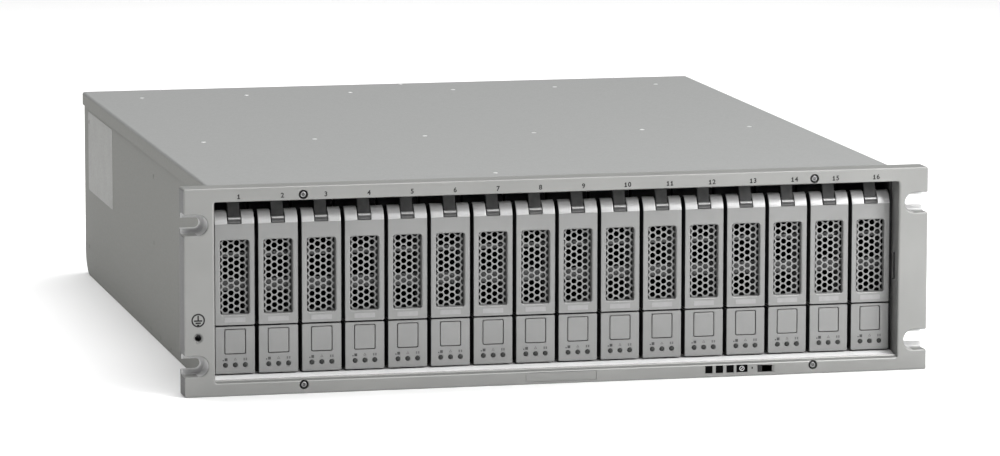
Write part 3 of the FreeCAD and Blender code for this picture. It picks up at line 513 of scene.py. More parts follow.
# Front frame
frontFrame = {
    "sill": 9.2 * mm,
    "lintel": 8.7 * mm,
    "ear": 19.4 * mm,
    "ledgeRun": 3.0 * mm,
    "ledgeDrop": 0.8 * mm,
    "seat": 1.0 * mm,
    "seatSide": 223.2 * mm,
    "outerRound": 1.1 * mm,
    "fineRound": 0.2 * mm,
    "slotInset": 8.75 * mm,
    "slotHeights": (19.5 * mm, 108.4 * mm),
    "slotRadius": 3.5 * mm,
    "recessRadius": 6.4 * mm,
    "recessDepth": 12.0 * mm,
    "groundHeight": 37.4 * mm,
    "groundRadius": 2.1 * mm,
    "groundSink": 1.1 * mm,
    "screwBore": 2.9 * mm,
    "screwColumns": (-165.6 * mm, 165.6 * mm),
    "screwHeights": (5.7 * mm, 125.8 * mm),
    "plate": (46.0 * mm, 5.9 * mm, 0.5 * mm),
    "windows": ((96.7 * mm, 4.8 * mm), (103.7 * mm, 4.8 * mm), (110.7 * mm, 4.8 * mm), (118.6 * mm, 7.4 * mm)),
    "windowHeight": 4.8 * mm,
    "windowDepth": 1.2 * mm,
    "windowMiddle": 5.1 * mm,
    "switch": (134.2 * mm, 13.5 * mm, 4.6 * mm, 3.0 * mm),
    "switchRamp": (2.25 * mm, 1.5 * mm),
    "wallSlit": (58.0 * mm, 75.5 * mm, 4.4 * mm, 7.8 * mm),
    "linerReach": 1.5 * mm,
    "returnReach": 9.5 * mm,
    "returnRise": 1.9 * mm,
    "returnCrest": 12.0 * mm,
    "returnInset": 0.6 * mm,
    "returnSheet": 0.4 * mm,
}
past = 5 * mm
frameLow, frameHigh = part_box("front_frame")
panLow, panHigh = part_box("chassis_pan")
panSheet = 1.2 * mm
frontY = frameLow.y
openingX = frameHigh.x - frontFrame["ear"]
openingLow = frontFrame["sill"]
openingHigh = frameHigh.z - frontFrame["lintel"]
slotX = frameHigh.x - frontFrame["slotInset"]
sillMiddle = frontFrame["sill"] / 2
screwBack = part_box("frame_screws")[1].y
screwSpots = [Vector((x, frontY, z)) for x in frontFrame["screwColumns"] for z in frontFrame["screwHeights"]]


def carveRackSlots(piece, radius, depth):
    # slots run from a round end out through the edge of each ear
    steps = 24
    for height in frontFrame["slotHeights"]:
        for side in (-1, 1):
            ends = [(frameHigh.x + past, -radius)]
            for step in range(steps + 1):
                turn = math.pi * (step / steps - 0.5)
                ends.append((slotX - radius * math.cos(turn), radius * math.sin(turn)))
            ends.append((frameHigh.x + past, radius))
            outline = [(side * x, frontY - past, height + z) for x, z in ends]
            carve(piece, addPrism("cutter", outline, (0, depth + past, 0)))


def carveSwitchRecess(piece):
    # ramps at both ends of the opening, and a wider slot below them for the slider
    middle, width, height, depth = frontFrame["switch"]
    run, drop = frontFrame["switchRamp"]
    bottom = sillMiddle - height / 2
    half = width / 2
    carve(piece, addPrism("cutter", (
        (middle - half - run, frontY - drop, bottom),
        (middle - half + run, frontY + drop, bottom),
        (middle + half - run, frontY + drop, bottom),
        (middle + half + run, frontY - drop, bottom),
    ), (0, 0, height)))
    carveBlock(piece, (middle - half, frontY + 0.99 * drop, bottom), (middle + half, frontY + depth, bottom + height))


def inHole(centre):
    # inside the ground hole, the wall slit or the switch recess
    if centre.y < frontY + 0.6 * mm:
        return False
    if math.hypot(centre.x + slotX, centre.z - frontFrame["groundHeight"]) < frontFrame["groundRadius"] + 0.1 * mm:
        return True
    low, high, width, back = frontFrame["wallSlit"]
    if centre.x > openingX + 0.2 * mm and low < centre.z < high and abs(centre.y - frontY - back - width / 2) < width:
        return True
    middle, width, height, depth = frontFrame["switch"]
    if centre.y < frontY + 0.9 * frontFrame["switchRamp"][1]:
        return False
    return (abs(centre.x - middle) < width / 2 + 0.1 * mm and abs(centre.z - sillMiddle) < height / 2 + 0.1 * mm
            and centre.y < frontY + depth + 0.1 * mm)


def inRecess(centre):
    # floor and walls of a rack slot's recess, and the slot behind it
    for height in frontFrame["slotHeights"]:
        if abs(centre.z - height) < frontFrame["recessRadius"] - 0.01 * mm and abs(centre.x) < frameHigh.x - 0.1 * mm:
            if abs(centre.x) > slotX - frontFrame["recessRadius"] - 0.05 * mm:
                return centre.y > frontY + 1.2 * frontFrame["outerRound"]
    return False


def makeFrontFrame():
    size = frontFrame
    piece = addBlock("frame_casting", frameLow, frameHigh)
    carveBlock(piece, (-openingX, frontY - past, openingLow), (openingX, frameHigh.y + past, openingHigh))
    # sloped part of the sill
    run, drop = size["ledgeRun"], size["ledgeDrop"]
    carve(piece, addPrism("cutter", (
        (-openingX, frontY - run, openingLow - 2 * drop),
        (-openingX, frontY + run, openingLow),
        (-openingX, frontY + run, openingLow + past),
        (-openingX, frontY - run, openingLow + past),
    ), (2 * openingX, 0, 0)))
    carveRackSlots(piece, size["recessRadius"], size["recessDepth"])
    roundEdges(piece, size["outerRound"], 4)
    carveRackSlots(piece, size["slotRadius"], 4 * past)
    carveBlock(piece, (-size["seatSide"], frameHigh.y - size["seat"], -past),
               (size["seatSide"], frameHigh.y + past, frameHigh.z + past))
    for spot in screwSpots:
        carve(piece, addRod("cutter", spot, size["screwBore"], 8 * past, sides=40))
    ground = Vector((-slotX, frontY, size["groundHeight"]))
    carve(piece, addRod("cutter", ground, size["groundRadius"], 8 * past, sides=40))
    inner, sink = size["groundRadius"], size["groundSink"]
    carve(piece, addCone("cutter", ground, inner - sink / 2, inner + 2.5 * sink, 3 * sink))
    width, height, depth = size["plate"]
    carve(piece, roundBlock("cutter", (-width / 2, frontY - past, sillMiddle - height / 2),
                            (width / 2, frontY + depth, sillMiddle + height / 2), 0.6 * mm))
    half = size["windowHeight"] / 2
    for middle, width in size["windows"]:
        carveBlock(piece, (middle - width / 2, frontY - past, size["windowMiddle"] - half),
                   (middle + width / 2, frontY + size["windowDepth"], size["windowMiddle"] + half))
    carveSwitchRecess(piece)
    # narrow slit in the right inner wall
    low, high, width, back = size["wallSlit"]
    carveBlock(piece, (openingX - past, frontY + back, low), (openingX + 1 * mm, frontY + back + width, high))
    finishPiece(piece, "framePaint", size["fineRound"], 2, 55)
    # painted light: the flat ledge is painted near white
    dressFaces(piece, "ledgeHighlight", lambda centre, normal: (
        normal.z > 0.99 and abs(centre.z - openingLow) < 0.1 * mm and centre.y > frontY + 0.8 * run))
    # painted light: the recesses of the rack slots are painted light
    dressFaces(piece, "recessLight", lambda centre, normal: inRecess(centre))
    # painted shade: the ground hole, the wall slit and the switch recess are painted dark
    dressFaces(piece, "paintedShade", lambda centre, normal: inHole(centre))
    # painted shade: the frame's outer side faces are painted dark
    dressFaces(piece, "frameFlankShade", lambda centre, normal: (
        abs(normal.x) > 0.9 and abs(centre.x) > frameHigh.x - 0.1 * mm))
    return settle(piece, "chassis", "frame_paint", "front_frame")


def makeSillReturn():
    # strip that rises from the ledge to just below the drives and runs back under them
    rise, sheet = frontFrame["returnRise"], frontFrame["returnSheet"]
    foot = frontY + frontFrame["ledgeRun"] + 0.2 * mm
    crest = frontY + frontFrame["returnCrest"]
    rear = frameHigh.y + 0.2 * mm
    top = openingLow + rise
    low = openingLow - 0.2 * mm
    half = openingX - frontFrame["returnInset"]
    piece = addPrism("sill_return", [(-half, y, z) for y, z in (
        (foot, low),
        (crest, top),
        (frameHigh.y + frontFrame["returnReach"], top),
        (frameHigh.y + frontFrame["returnReach"], top - sheet),
        (rear, top - sheet),
        (rear, low),
    )], (2 * half, 0, 0))
    # painted light: the strip is painted near white
    finishPiece(piece, "ledgeHighlight", 0.15 * mm)
    return settle(piece, "chassis", "chassis_paint")


def makeSideLiners():
    # close the joint between the frame's back and the pan's sides with dark strips: painted shade
    inside = panHigh.x + 0.02 * mm
    parts = []
    for side in (-1, 1):
        ends = sorted((side * inside, side * (inside + frontFrame["linerReach"])))
        liner = addBlock("liner", (ends[0], frameHigh.y - frontFrame["seat"], panSheet),
                         (ends[1], frameHigh.y - 0.1 * mm, openingHigh))
        roundEdges(liner, 0.08 * mm)
        parts.append(liner)
    piece = joinPieces("side_liners", parts)
    dress(piece, "innerShade")
    return settle(piece, "chassis", "black_plastic")


frameScrew = {
    "head": 1.85 * mm,
    "dome": 0.4 * mm,
    "below": 0.45 * mm,
    "socket": 1.0 * mm,
    "socketDepth": 1.2 * mm,
    "pin": 0.38 * mm,
}


def makeScrews():
    size = frameScrew
    parts = []
    for spot in screwSpots:
        top = spot + Vector((0, size["below"], 0))
        length = screwBack - top.y
        head = addRod("head", top + Vector((0, length / 2, 0)), size["head"], length, sides=32)
        editFaces(head, lambda centre, normal: normal.y < -0.9)
        bpy.ops.mesh.bevel(offset=size["dome"], segments=4)
        leaveEdit()
        carve(head, addRod("cutter", top, size["socket"], 2 * size["socketDepth"], sides=6))
        middle = top + Vector((0, 0.6 * size["socketDepth"], 0))
        pin = addRod("pin", middle, size["pin"], size["socketDepth"], sides=12)
        parts += [head, pin]
    piece = joinPieces("frame_screw_heads", parts)
    smoothShade(piece)
    dress(piece, "screwSteel")
    # painted shade: the floors of the screw sockets get the dark steel
    dressFaces(piece, "darkSteelAndShade", lambda centre, normal: (
        centre.y > frontY + 0.9 * size["socketDepth"] and normal.y < -0.9))
    return settle(piece, "chassis", "dark_steel", "frame_screws")


makeFrontFrame()
makeSillReturn()
makeSideLiners()
makeScrews()
print("front frame made")

# Signs on the frame: bay numbers, earth sign, bare plate, status windows
frameSigns = {
    "numberHeight": 125.6 * mm,
    "numberShifts": (5, 5, 5, 3, 3, 2, 2, 0, 3, 14, 14, 14, 8, 5, 2, -5),
    "numberSize": 4.2 * mm,
    "numberWeight": 0.12 * mm,
    "figurePitch": 2.5 * mm,
    "figureTall": 3.0 * mm,
    "figureLine": 0.75 * mm,
    "figureFoot": 1.7 * mm,
    "switchDot": (125.3 * mm, 5.3 * mm, 0.9 * mm, 1.3 * mm),
    "printDepth": 0.03 * mm,
    "earthHeight": 48.7 * mm,
    "earthRadius": 4.3 * mm,
    "earthLine": 0.95 * mm,
    "earthBars": ((-0.3, 5.2), (-1.7, 3.4), (-3.0, 1.5)),
    "plateInset": 0.25 * mm,
    "plateLift": 0.3 * mm,
    "paneThickness": 0.9 * mm,
    "iconRadius": 1.7 * mm,
    "iconLine": 0.5 * mm,
}


def bayMiddle(number):
    low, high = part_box(f"release_button_{number}")
    return (low.x + high.x) / 2


def addPrint(middle, width, height):
    # thin printed bar centred on a point of a front face
    half = Vector((width / 2, frameSigns["printDepth"], height / 2))
    return addBlock("bar", middle - half, middle + half)


def addOne(middle):
    # figure one with a flag and a foot
    size = frameSigns
    tall, line, foot = size["figureTall"], size["figureLine"], size["figureFoot"]
    depth = size["printDepth"]
    top = middle.z + tall / 2
    flag = addPrism("flag", [(middle.x + x, middle.y - depth, top + z) for x, z in (
        (0, 0), (0, -line), (-foot / 2, -1.6 * line), (-foot / 2, -0.9 * line))], (0, 2 * depth, 0))
    return [
        addPrint(middle, line, tall),
        addPrint(middle - Vector((0, 0, (tall - line) / 2)), foot, 0.8 * line),
        flag,
    ]


def addFigure(figure, middle):
    if figure == "1":
        return addOne(middle)
    clearSelection()
    bpy.ops.object.text_add(location=middle, rotation=(math.pi / 2, 0, 0))
    text = bpy.context.object
    text.data.body = figure
    text.data.size = frameSigns["numberSize"]
    text.data.align_x = "CENTER"
    text.data.align_y = "CENTER"
    text.data.extrude = frameSigns["printDepth"]
    text.data.resolution_u = 4
    text.data.offset = frameSigns["numberWeight"]
    bpy.ops.object.convert(target="MESH")
    bakePlace(text)
    return [text]


def makeNumbers():
    parts = []
    for number, shift in zip(bays, frameSigns["numberShifts"]):
        figures = str(int(number))
        middle = Vector((bayMiddle(number) + 0.1 * shift * mm, frontY, frameSigns["numberHeight"]))
        for step, figure in enumerate(figures):
            across = (step - (len(figures) - 1) / 2) * frameSigns["figurePitch"]
            parts += addFigure(figure, middle + Vector((across, 0, 0)))
    piece = joinPieces("bay_numbers", parts)
    dress(piece, "ink")
    return settle(piece, "chassis", "black_plastic")


def makeEarthSign():
    line = frameSigns["earthLine"]
    radius = frameSigns["earthRadius"]
    depth = frameSigns["printDepth"]
    middle = Vector((-slotX, frontY, frameSigns["earthHeight"]))
    ring = addRod("earth_sign", middle, radius, 2 * depth, sides=48)
    carve(ring, addRod("cutter", middle, radius - line, 10 * depth, sides=48))
    parts = [ring, addPrint(middle + Vector((0, 0, 1.4 * mm)), line, 3.2 * mm)]
    for rise, width in frameSigns["earthBars"]:
        parts.append(addPrint(middle + Vector((0, 0, rise * mm)), width * mm, line))
    x, z, width, height = frameSigns["switchDot"]
    parts.append(addPrint(Vector((x, frontY, z)), width, height))
    piece = joinPieces("earth_sign", parts)
    dress(piece, "ink")
    return settle(piece, "chassis", "black_plastic")


def makeBarePlate():
    width, height, depth = frontFrame["plate"]
    inset = frameSigns["plateInset"]
    floorY = frontY + depth
    plate = roundBlock(
        "bare_plate",
        (-width / 2 + inset, floorY - frameSigns["plateLift"], sillMiddle - height / 2 + inset),
        (width / 2 - inset, floorY, sillMiddle + height / 2 - inset), 0.5 * mm)
    finishPiece(plate, "framePaint", 0.1 * mm)
    return settle(plate, "chassis", "frame_paint")


def makeStatusWindows():
    half = frontFrame["windowHeight"] / 2
    floorY = frontY + frontFrame["windowDepth"]
    paneY = floorY - frameSigns["paneThickness"]
    parts = []
    for middle, width in frontFrame["windows"]:
        pane = addBlock("pane", (middle - width / 2, paneY, frontFrame["windowMiddle"] - half),
                        (middle + width / 2, floorY, frontFrame["windowMiddle"] + half))
        roundEdges(pane, 0.25 * mm, 2)
        parts.append(pane)
    panes = joinPieces("status_windows", parts)
    smoothShade(panes)
    dress(panes, "windowBlack")
    settle(panes, "chassis", "black_plastic")
    # ring with a bar across it on the wide window
    radius, line = frameSigns["iconRadius"], frameSigns["iconLine"]
    middle = Vector((frontFrame["windows"][3][0], paneY, frontFrame["windowMiddle"]))
    sign = addRod("window_sign", middle, radius, 0.06 * mm, sides=32)
    carve(sign, addRod("cutter", middle, radius - line, 1 * mm, sides=24))
    bar = addPrint(middle, 2 * radius - line, line)
    bar.data.transform(Matrix.Translation(middle) @ Matrix.Rotation(-math.pi / 4, 4, "Y")
                       @ Matrix.Translation(-middle))
    sign = joinPieces("window_sign", [sign, bar])
    dress(sign, "paleIcon")
    settle(sign, "chassis", "black_plastic")


rateSwitch = {"foot": 1.4 * mm, "grip": 2.2 * mm, "grooves": 2, "groovePitch": 0.8 * mm, "groove": 0.4 * mm}


def makeRateSwitch():
    size = rateSwitch
    low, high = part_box("rate_switch")
    middle = (low.x + high.x) / 2
    foot = addBlock("rate_switch_slider", (low.x, high.y - size["foot"], low.z), high)
    weld(foot, addBlock("grip", (middle - size["grip"] / 2, low.y, low.z),
                        (middle + size["grip"] / 2, high.y - size["foot"] / 2, high.z)))
    half = size["groove"] / 2
    for step in range(size["grooves"]):
        x = middle + (step - (size["grooves"] - 1) / 2) * size["groovePitch"]
        carveBlock(foot, (x - half, low.y - past, low.z - past), (x + half, low.y + 2 * half, high.z + past))
    finishPiece(foot, "blackPlastic", 0.08 * mm)
    return settle(foot, "switch", "black_plastic", "rate_switch")


makeNumbers()
makeEarthSign()
makeBarePlate()
makeStatusWindows()
makeRateSwitch()
print("frame signs made")

# Chassis sheet metal
chassisMarks = {
    "topRows": (231 * mm, 479 * mm),
    "topColumns": (37.5 * mm, 112.5 * mm, 187.5 * mm),
    "oddSpots": ((-33 * mm, 42 * mm), (47 * mm, 22 * mm), (8 * mm, 520 * mm)),
    "topStud": (1.7 * mm, 0.45 * mm),
    "sideStud": (1.6 * mm, 0.45 * mm),
    "sideSpots": (
        (230 * mm, 108 * mm), (229 * mm, 64 * mm), (503 * mm, 110.7 * mm), (508 * mm, 21 * mm),
        (244 * mm, 4.3 * mm), (205 * mm, 3.9 * mm), (165 * mm, 3.7 * mm)),
    "sticker": ((400 * mm, 62 * mm), (507 * mm, 118 * mm)),
    "stickerRound": 2.5 * mm,
    "sheetEdge": 0.25 * mm,
}


def makeChassis():
    cover = copyNode("top_cover", "cover_sheet")
    finishPiece(cover, "chassisPaint", chassisMarks["sheetEdge"], 2, 50)
    # painted shade: the cover's side faces get the side tone
    dressFaces(cover, "chassisSideShade", lambda centre, normal: abs(normal.x) > 0.9)
    settle(cover, "chassis", "chassis_paint", "top_cover")
    pan = copyNode("chassis_pan", "pan_sheet")
    finishPiece(pan, "chassisPaint", chassisMarks["sheetEdge"], 2, 50)
    # painted shade: the pan's side faces get the side tone
    dressFaces(pan, "chassisSideShade", lambda centre, normal: abs(normal.x) > 0.9)
    # painted shade: inside faces and front edges of the pan are painted dark
    insideX = panHigh.x - panSheet + 0.05 * mm
    dressFaces(pan, "innerShade", lambda centre, normal: (
        (abs(centre.x) < insideX and centre.z > panSheet - 0.05 * mm) or centre.y < panLow.y + 0.3 * mm))
    settle(pan, "chassis", "chassis_paint", "chassis_pan")


def makeChassisMarks():
    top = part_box("top_cover")[1].z
    side = panLow.x
    columns = chassisMarks["topColumns"]
    spots = [(sign * x, y) for y in chassisMarks["topRows"] for x in columns for sign in (-1, 1)]
    parts = []
    for x, y in spots + list(chassisMarks["oddSpots"]):
        parts.append(addStud((x, frontY + y, top), *chassisMarks["topStud"], "Z"))
    for y, z in chassisMarks["sideSpots"]:
        for x in (side, -side):
            parts.append(addStud((x, frontY + y, z), *chassisMarks["sideStud"], "X"))
    piece = joinPieces("sheet_studs", parts)
    smoothShade(piece)
    # painted shade: all studs get the side tone, and the studs on the top are lightened next
    dress(piece, "chassisSideShade")
    # painted highlight: the studs on the top get light steel
    dressFaces(piece, "highlightSteel", lambda centre, normal: centre.z > top - mm)
    settle(piece, "chassis", "chassis_paint")
    (nearY, lowZ), (farY, highZ) = chassisMarks["sticker"]
    sticker = roundBlock(
        "bare_sticker", (side - 0.12 * mm, frontY + nearY, lowZ), (side + 0.05 * mm, frontY + farY, highZ),
        chassisMarks["stickerRound"], axis=0)
    dress(sticker, "stickerPaper")
    settle(sticker, "chassis", "chassis_paint")


makeChassis()
makeChassisMarks()
print("chassis made")

# Drive front: lever shell with shoulder, grille and tongue, made at x = 0 and copied to each bay
buttonLow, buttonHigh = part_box("release_button_01")
leverLow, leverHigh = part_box("latch_lever_01")
carrierLow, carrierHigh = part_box("drive_carrier_01")
faceY = leverLow.y
faceHalf = (leverHigh.x - leverLow.x) / 2 + 0.25 * mm
latchLever = {
    "plate": 2.0 * mm,
    "thickPlate": 4.4 * mm,
    "thickDrop": 8.0 * mm,
    "wall": 1.8 * mm,
    "depth": 9.5 * mm,
    "crease": 106.7 * mm,
    "shoulderRise": 8.3 * mm,
    "shoulderRun": 6.8 * mm,
    "shoulderStart": 30,
    "shoulderSteps": 9,
    "pivot": (14.5 * mm, 107.0 * mm),
    "boss": 3.2 * mm,
    "bossBevel": 1.3 * mm,
    "slope": 9.0 * mm,
    "seat": 1.66 * mm,
    "tongueSlot": 9.0 * mm,
    "window": (18.1 * mm, 49.7 * mm, 96.4 * mm),
    "windowRound": 1.0 * mm,
    "windowEdge": 0.7 * mm,
    "corner": 0.7 * mm,
    "edge": 0.35 * mm,
    "ribs": ((63.6 * mm, 71.0 * mm), (85.0 * mm, 88.0 * mm)),
    "ribSetback": 6.3 * mm,
    "ribSheet": 1.2 * mm,
    "label": (13.2 * mm, 44.7 * mm, 47.7 * mm),
}
grille = {
    "pitch": 4.2 * mm,
    "web": 0.95 * mm,
    "roundness": 0.7,
    "setback": 3.4 * mm,
    "thickness": 0.8 * mm,
    "firstRow": 2.1 * mm,
    "rows": 14,
    "columnPairs": 4,
}
latchTongue = {
    "strip": 7.6 * mm,
    "thickness": 1.4 * mm,
    "lean": 5.0 * mm,
    "foot": 7.0 * mm,
    "lip": 7.9 * mm,
    "flare": 8.4 * mm,
    "lipLift": 0.3 * mm,
    "lipHeight": 3.8 * mm,
    "lipGroove": (1.9 * mm, 0.4 * mm),
    "lipReach": 1.7 * mm,
    "lipSlope": (1.1 * mm, 0.65 * mm),
    "edge": 0.25 * mm,
}


def shoulderCurve():
    # part of an ellipse that leans back from the crease and ends flat
    size = latchLever
    start = math.radians(size["shoulderStart"])
    points = []
    for step in range(size["shoulderSteps"] + 1):
        angle = start + (math.pi / 2 - start) * step / size["shoulderSteps"]
        across = (math.cos(start) - math.cos(angle)) / math.cos(start)
        up = (math.sin(angle) - math.sin(start)) / (1 - math.sin(start))
        points.append((faceY + size["shoulderRun"] * across, size["crease"] + size["shoulderRise"] * up))
    return points


def makeLeverShell():
    size = latchLever
    pivotY, pivotZ = faceY + size["pivot"][0], size["pivot"][1]
    backY = pivotY + size["boss"]
    lowZ = leverLow.z
    bevel, boss, seat = size["bossBevel"], size["boss"], size["seat"]
    outline = [(faceY, lowZ)] + shoulderCurve() + [
        (backY - bevel, pivotZ + boss),
        (backY, pivotZ + boss - bevel),
        (backY, pivotZ + seat),
        (pivotY - seat, pivotZ + seat),
        (pivotY - seat, pivotZ - seat),
        (backY, pivotZ - seat),
        (backY, pivotZ - boss + bevel),
        (backY - bevel, pivotZ - boss),
        (faceY + size["depth"], pivotZ - size["slope"]),
        (faceY + size["depth"], lowZ),
    ]
    piece = addPrism("lever_shell", [(-faceHalf, y, z) for y, z in outline], (2 * faceHalf, 0, 0))
    # lower corners of the face
    editEdges(piece, lambda p, q: (
        max(p.z, q.z) < lowZ + 0.01 * mm and abs(p.x - q.x) < 0.01 * mm and abs(p.y - q.y) > mm))
    bpy.ops.mesh.bevel(offset=size["corner"], segments=3)
    leaveEdit()
    # hollow behind the front wall and the shoulder
    innerX = faceHalf - size["wall"]
    plate, top = size["plate"], size["crease"] + size["shoulderRise"]
    hollow = [
        (faceY + size["thickPlate"], lowZ + size["wall"]),
        (faceY + size["thickPlate"], size["crease"] - size["thickDrop"] - mm),
        (faceY + plate, size["crease"] - size["thickDrop"]),
        (faceY + plate, size["crease"]),
        (faceY + plate + 2 * mm, top - plate - 1.5 * mm),
        (faceY + size["shoulderRun"], top - plate),
        (faceY + size["shoulderRun"], top + plate),
        (backY + plate, top + plate),
        (backY + plate, lowZ + size["wall"]),
    ]
    carve(piece, addPrism("cutter", [(-innerX, y, z) for y, z in hollow], (2 * innerX, 0, 0)))
    half = size["tongueSlot"] / 2
    carveBlock(piece, (-half, faceY - plate, size["crease"]), (half, faceY + size["shoulderRun"], top + plate))
    width, low, high = size["window"]
    # split across the window first, so that no cut leaves a face with a hole in it
    splitAt(piece, (0, 0, (low + high) / 2), (0, 0, 1))
    carve(piece, roundBlock("cutter", (-width / 2, faceY - past, low), (width / 2, faceY + past, high),
                            size["windowRound"]))
    # sloped rim of the window: the cutter's back face shrinks to the window's size
    rim = size["windowEdge"]
    cutter = roundBlock("cutter", (-width / 2 - 2 * rim, faceY - rim, low - 2 * rim),
                        (width / 2 + 2 * rim, faceY + rim, high + 2 * rim), size["windowRound"] + 2 * rim)
    editFaces(cutter, lambda centre, normal: normal.y > 0.9)
    bpy.ops.transform.resize(value=(width / (width + 4 * rim), 1, (high - low) / (high - low + 4 * rim)),
                             center_override=(0, faceY + rim, (low + high) / 2))
    leaveEdit()
    carve(piece, cutter)
    finishPiece(piece, "driveSilver", size["edge"])
    # painted highlight: the shoulder faces that lean up and forward get the lighter silver
    dressFaces(piece, "shoulderHighlight", lambda centre, normal: (
        centre.z > size["crease"] and normal.y < -0.05 and normal.z > 0.15 and abs(normal.x) < 0.5))
    # painted shade: the lever's side faces, which face the gaps between bays, are painted dark
    dressFaces(piece, "paintedShade", lambda centre, normal: (
        abs(normal.x) > 0.97 and abs(centre.x) > faceHalf - 0.1 * mm))
    return piece


def makeCell():
    # hexagon with a round hole: every second corner of a circle moves in to the middle of a flat side
    radius = grille["pitch"] / math.sqrt(3)
    clearSelection()
    bpy.ops.mesh.primitive_circle_add(
        vertices=12, radius=radius, fill_type="NGON", location=(0, 0, 0), rotation=axisTurns["Y"])
    cell = bpy.context.object
    bakePlace(cell)
    bpy.ops.object.mode_set(mode="EDIT")
    bpy.ops.mesh.select_mode(type="VERT")
    bpy.ops.mesh.select_all(action="DESELECT")
    leaveEdit()
    for point in cell.data.vertices:
        turn = round(math.degrees(math.atan2(point.co.z, point.co.x)))
        point.select = turn % 60 == 30
    bpy.ops.object.mode_set(mode="EDIT")
    inward = math.cos(math.pi / 6)
    bpy.ops.transform.resize(value=(inward, 1, inward), center_override=(0, 0, 0))
    bpy.ops.mesh.select_mode(type="FACE")
    bpy.ops.mesh.select_all(action="SELECT")
    bpy.ops.mesh.inset(thickness=grille["web"] / 2, depth=0)
    bpy.ops.transform.tosphere(value=grille["roundness"], center_override=(0, 0, 0))
    bpy.ops.mesh.delete(type="FACE")
    leaveEdit()
    return cell


def makeGrille():
    size = grille
    pitch = size["pitch"]
    columnPitch = pitch * math.sqrt(3) / 2
    width, low, high = latchLever["window"]
    cell = makeCell()
    panel = joinPieces("grille_web", [cell, copyPiece(cell, "cell", (columnPitch, 0, pitch / 2))])
    for count, step in ((size["rows"], (0, 0, -pitch)), (size["columnPairs"], (2 * columnPitch, 0, 0))):
        applyModifier(panel, "ARRAY", count=count, use_relative_offset=False, use_constant_offset=True,
                      constant_offset_displace=step, use_merge_vertices=True, merge_threshold=0.01 * mm)
    backY = faceY + size["setback"] + size["thickness"]
    start = Vector((-3.5 * columnPitch, backY, high - size["firstRow"] + pitch))
    panel.data.transform(Matrix.Translation(start))
    margin = 0.3 * mm
    edges = (
        ((-width / 2 - margin, 0, 0), (-1, 0, 0)),
        ((width / 2 + margin, 0, 0), (1, 0, 0)),
        ((0, 0, low - margin), (0, 0, -1)),
        ((0, 0, high + margin), (0, 0, 1)),
    )
    for point, outward in edges:
        editAll(panel)
        bpy.ops.mesh.bisect(plane_co=point, plane_no=outward, clear_outer=True)
        leaveEdit()
    editAll(panel)
    bpy.ops.mesh.remove_doubles(threshold=0.01 * mm)
    bpy.ops.mesh.extrude_region_move(TRANSFORM_OT_translate={"value": (0, -size["thickness"], 0)})
    leaveEdit()
    turnOutward(panel)
    return dress(panel, "driveSilver")


def makeLeverRibs():
    innerX = faceHalf - latchLever["wall"]
    startY = faceY + latchLever["ribSetback"]
    parts = []
    for low, high in latchLever["ribs"]:
        rib = addBlock("rib", (-innerX, startY, low), (innerX, startY + latchLever["ribSheet"], high))
        roundEdges(rib, 0.2 * mm, 2)
        parts.append(rib)
    # painted shade: the ribs behind the grille are painted dark grey
    return dress(joinPieces("lever_ribs", parts), "greyShading")


def makeTongue():
    size = latchTongue
    crease = latchLever["crease"]
    insideY = faceY + latchLever["plate"]
    thick = size["thickness"]
    lipZ = crease + size["lipLift"] + size["lipHeight"]
    lipBottom = lipZ - size["lipHeight"]
    strip = addPrism("latch_tongue", [(-size["strip"] / 2, y, z) for y, z in (
        (insideY, crease - size["foot"]),
        (insideY, lipZ),
        (insideY + size["lean"] - thick, leverHigh.z),
        (insideY + size["lean"], leverHigh.z),
        (insideY + thick, lipZ - thick),
        (insideY + thick, crease - size["foot"]),
    )], (size["strip"], 0, 0))
    # lip in front, with flanks that widen toward the back
    front, back = size["lip"] / 2, size["flare"] / 2
    lipY = insideY - size["lipReach"]
    rearY = insideY + 0.6 * mm
    lip = addPrism("lip", (
        (-front, lipY, lipBottom), (front, lipY, lipBottom), (back, rearY, lipBottom), (-back, rearY, lipBottom),
    ), (0, 0, size["lipHeight"]))
    drop, groove = size["lipGroove"]
    carveBlock(lip, (-back - mm, lipY - mm, lipZ - drop - groove), (back + mm, lipY + groove, lipZ - drop))
    slope, run = size["lipSlope"]
    carve(lip, addPrism("cutter", [(-back - mm, y, z) for y, z in (
        (lipY - run, lipZ - 2 * slope),
        (lipY + 2 * run, lipZ + slope),
        (lipY - run, lipZ + slope),
    )], (2 * back + 2 * mm, 0, 0)))
    weld(strip, lip)
    finishPiece(strip, "darkSteelAndShade", size["edge"])
    # painted light: the lip's front face gets the lighter steel
    dressFaces(strip, "lipLitSteel", lambda centre, normal: (
        normal.y < -0.8 and centre.y < insideY - 0.5 * mm and lipBottom < centre.z < lipZ))
    # painted highlight: the fold along the top of the lip is painted in light steel
    dressFaces(strip, "highlightSteel", lambda centre, normal: (
        abs(centre.z - lipZ) < slope + 0.2 * mm and normal.z > 0.3 and centre.y < insideY))
    # painted shading: the lip's flanks get the same flat grey
    dressFaces(strip, "greyShading", lambda centre, normal: (
        abs(normal.x) > 0.5 and centre.y < insideY + 0.4 * mm and crease < centre.z < lipZ))
    return strip


driveBezel = {
    "top": 42.0 * mm,
    "corner": 0.8 * mm,
    "edge": 0.4 * mm,
    "gap": 0.4 * mm,
    "wellDepth": 9.4 * mm,
    "wellRound": 1.0 * mm,
    "keyRound": 0.8 * mm,
    "keyEdge": 0.35 * mm,
    "keyLift": 0.3 * mm,
    "ledHeight": 17.6 * mm,
    "ledSpread": 6.35 * mm,
    "ledRadius": 1.45 * mm,
    "signHeight": 21.2 * mm,
}
noseY = -242.0 * mm
noseBack = -226.6 * mm
buttonHalf = (buttonHigh.x - buttonLow.x) / 2


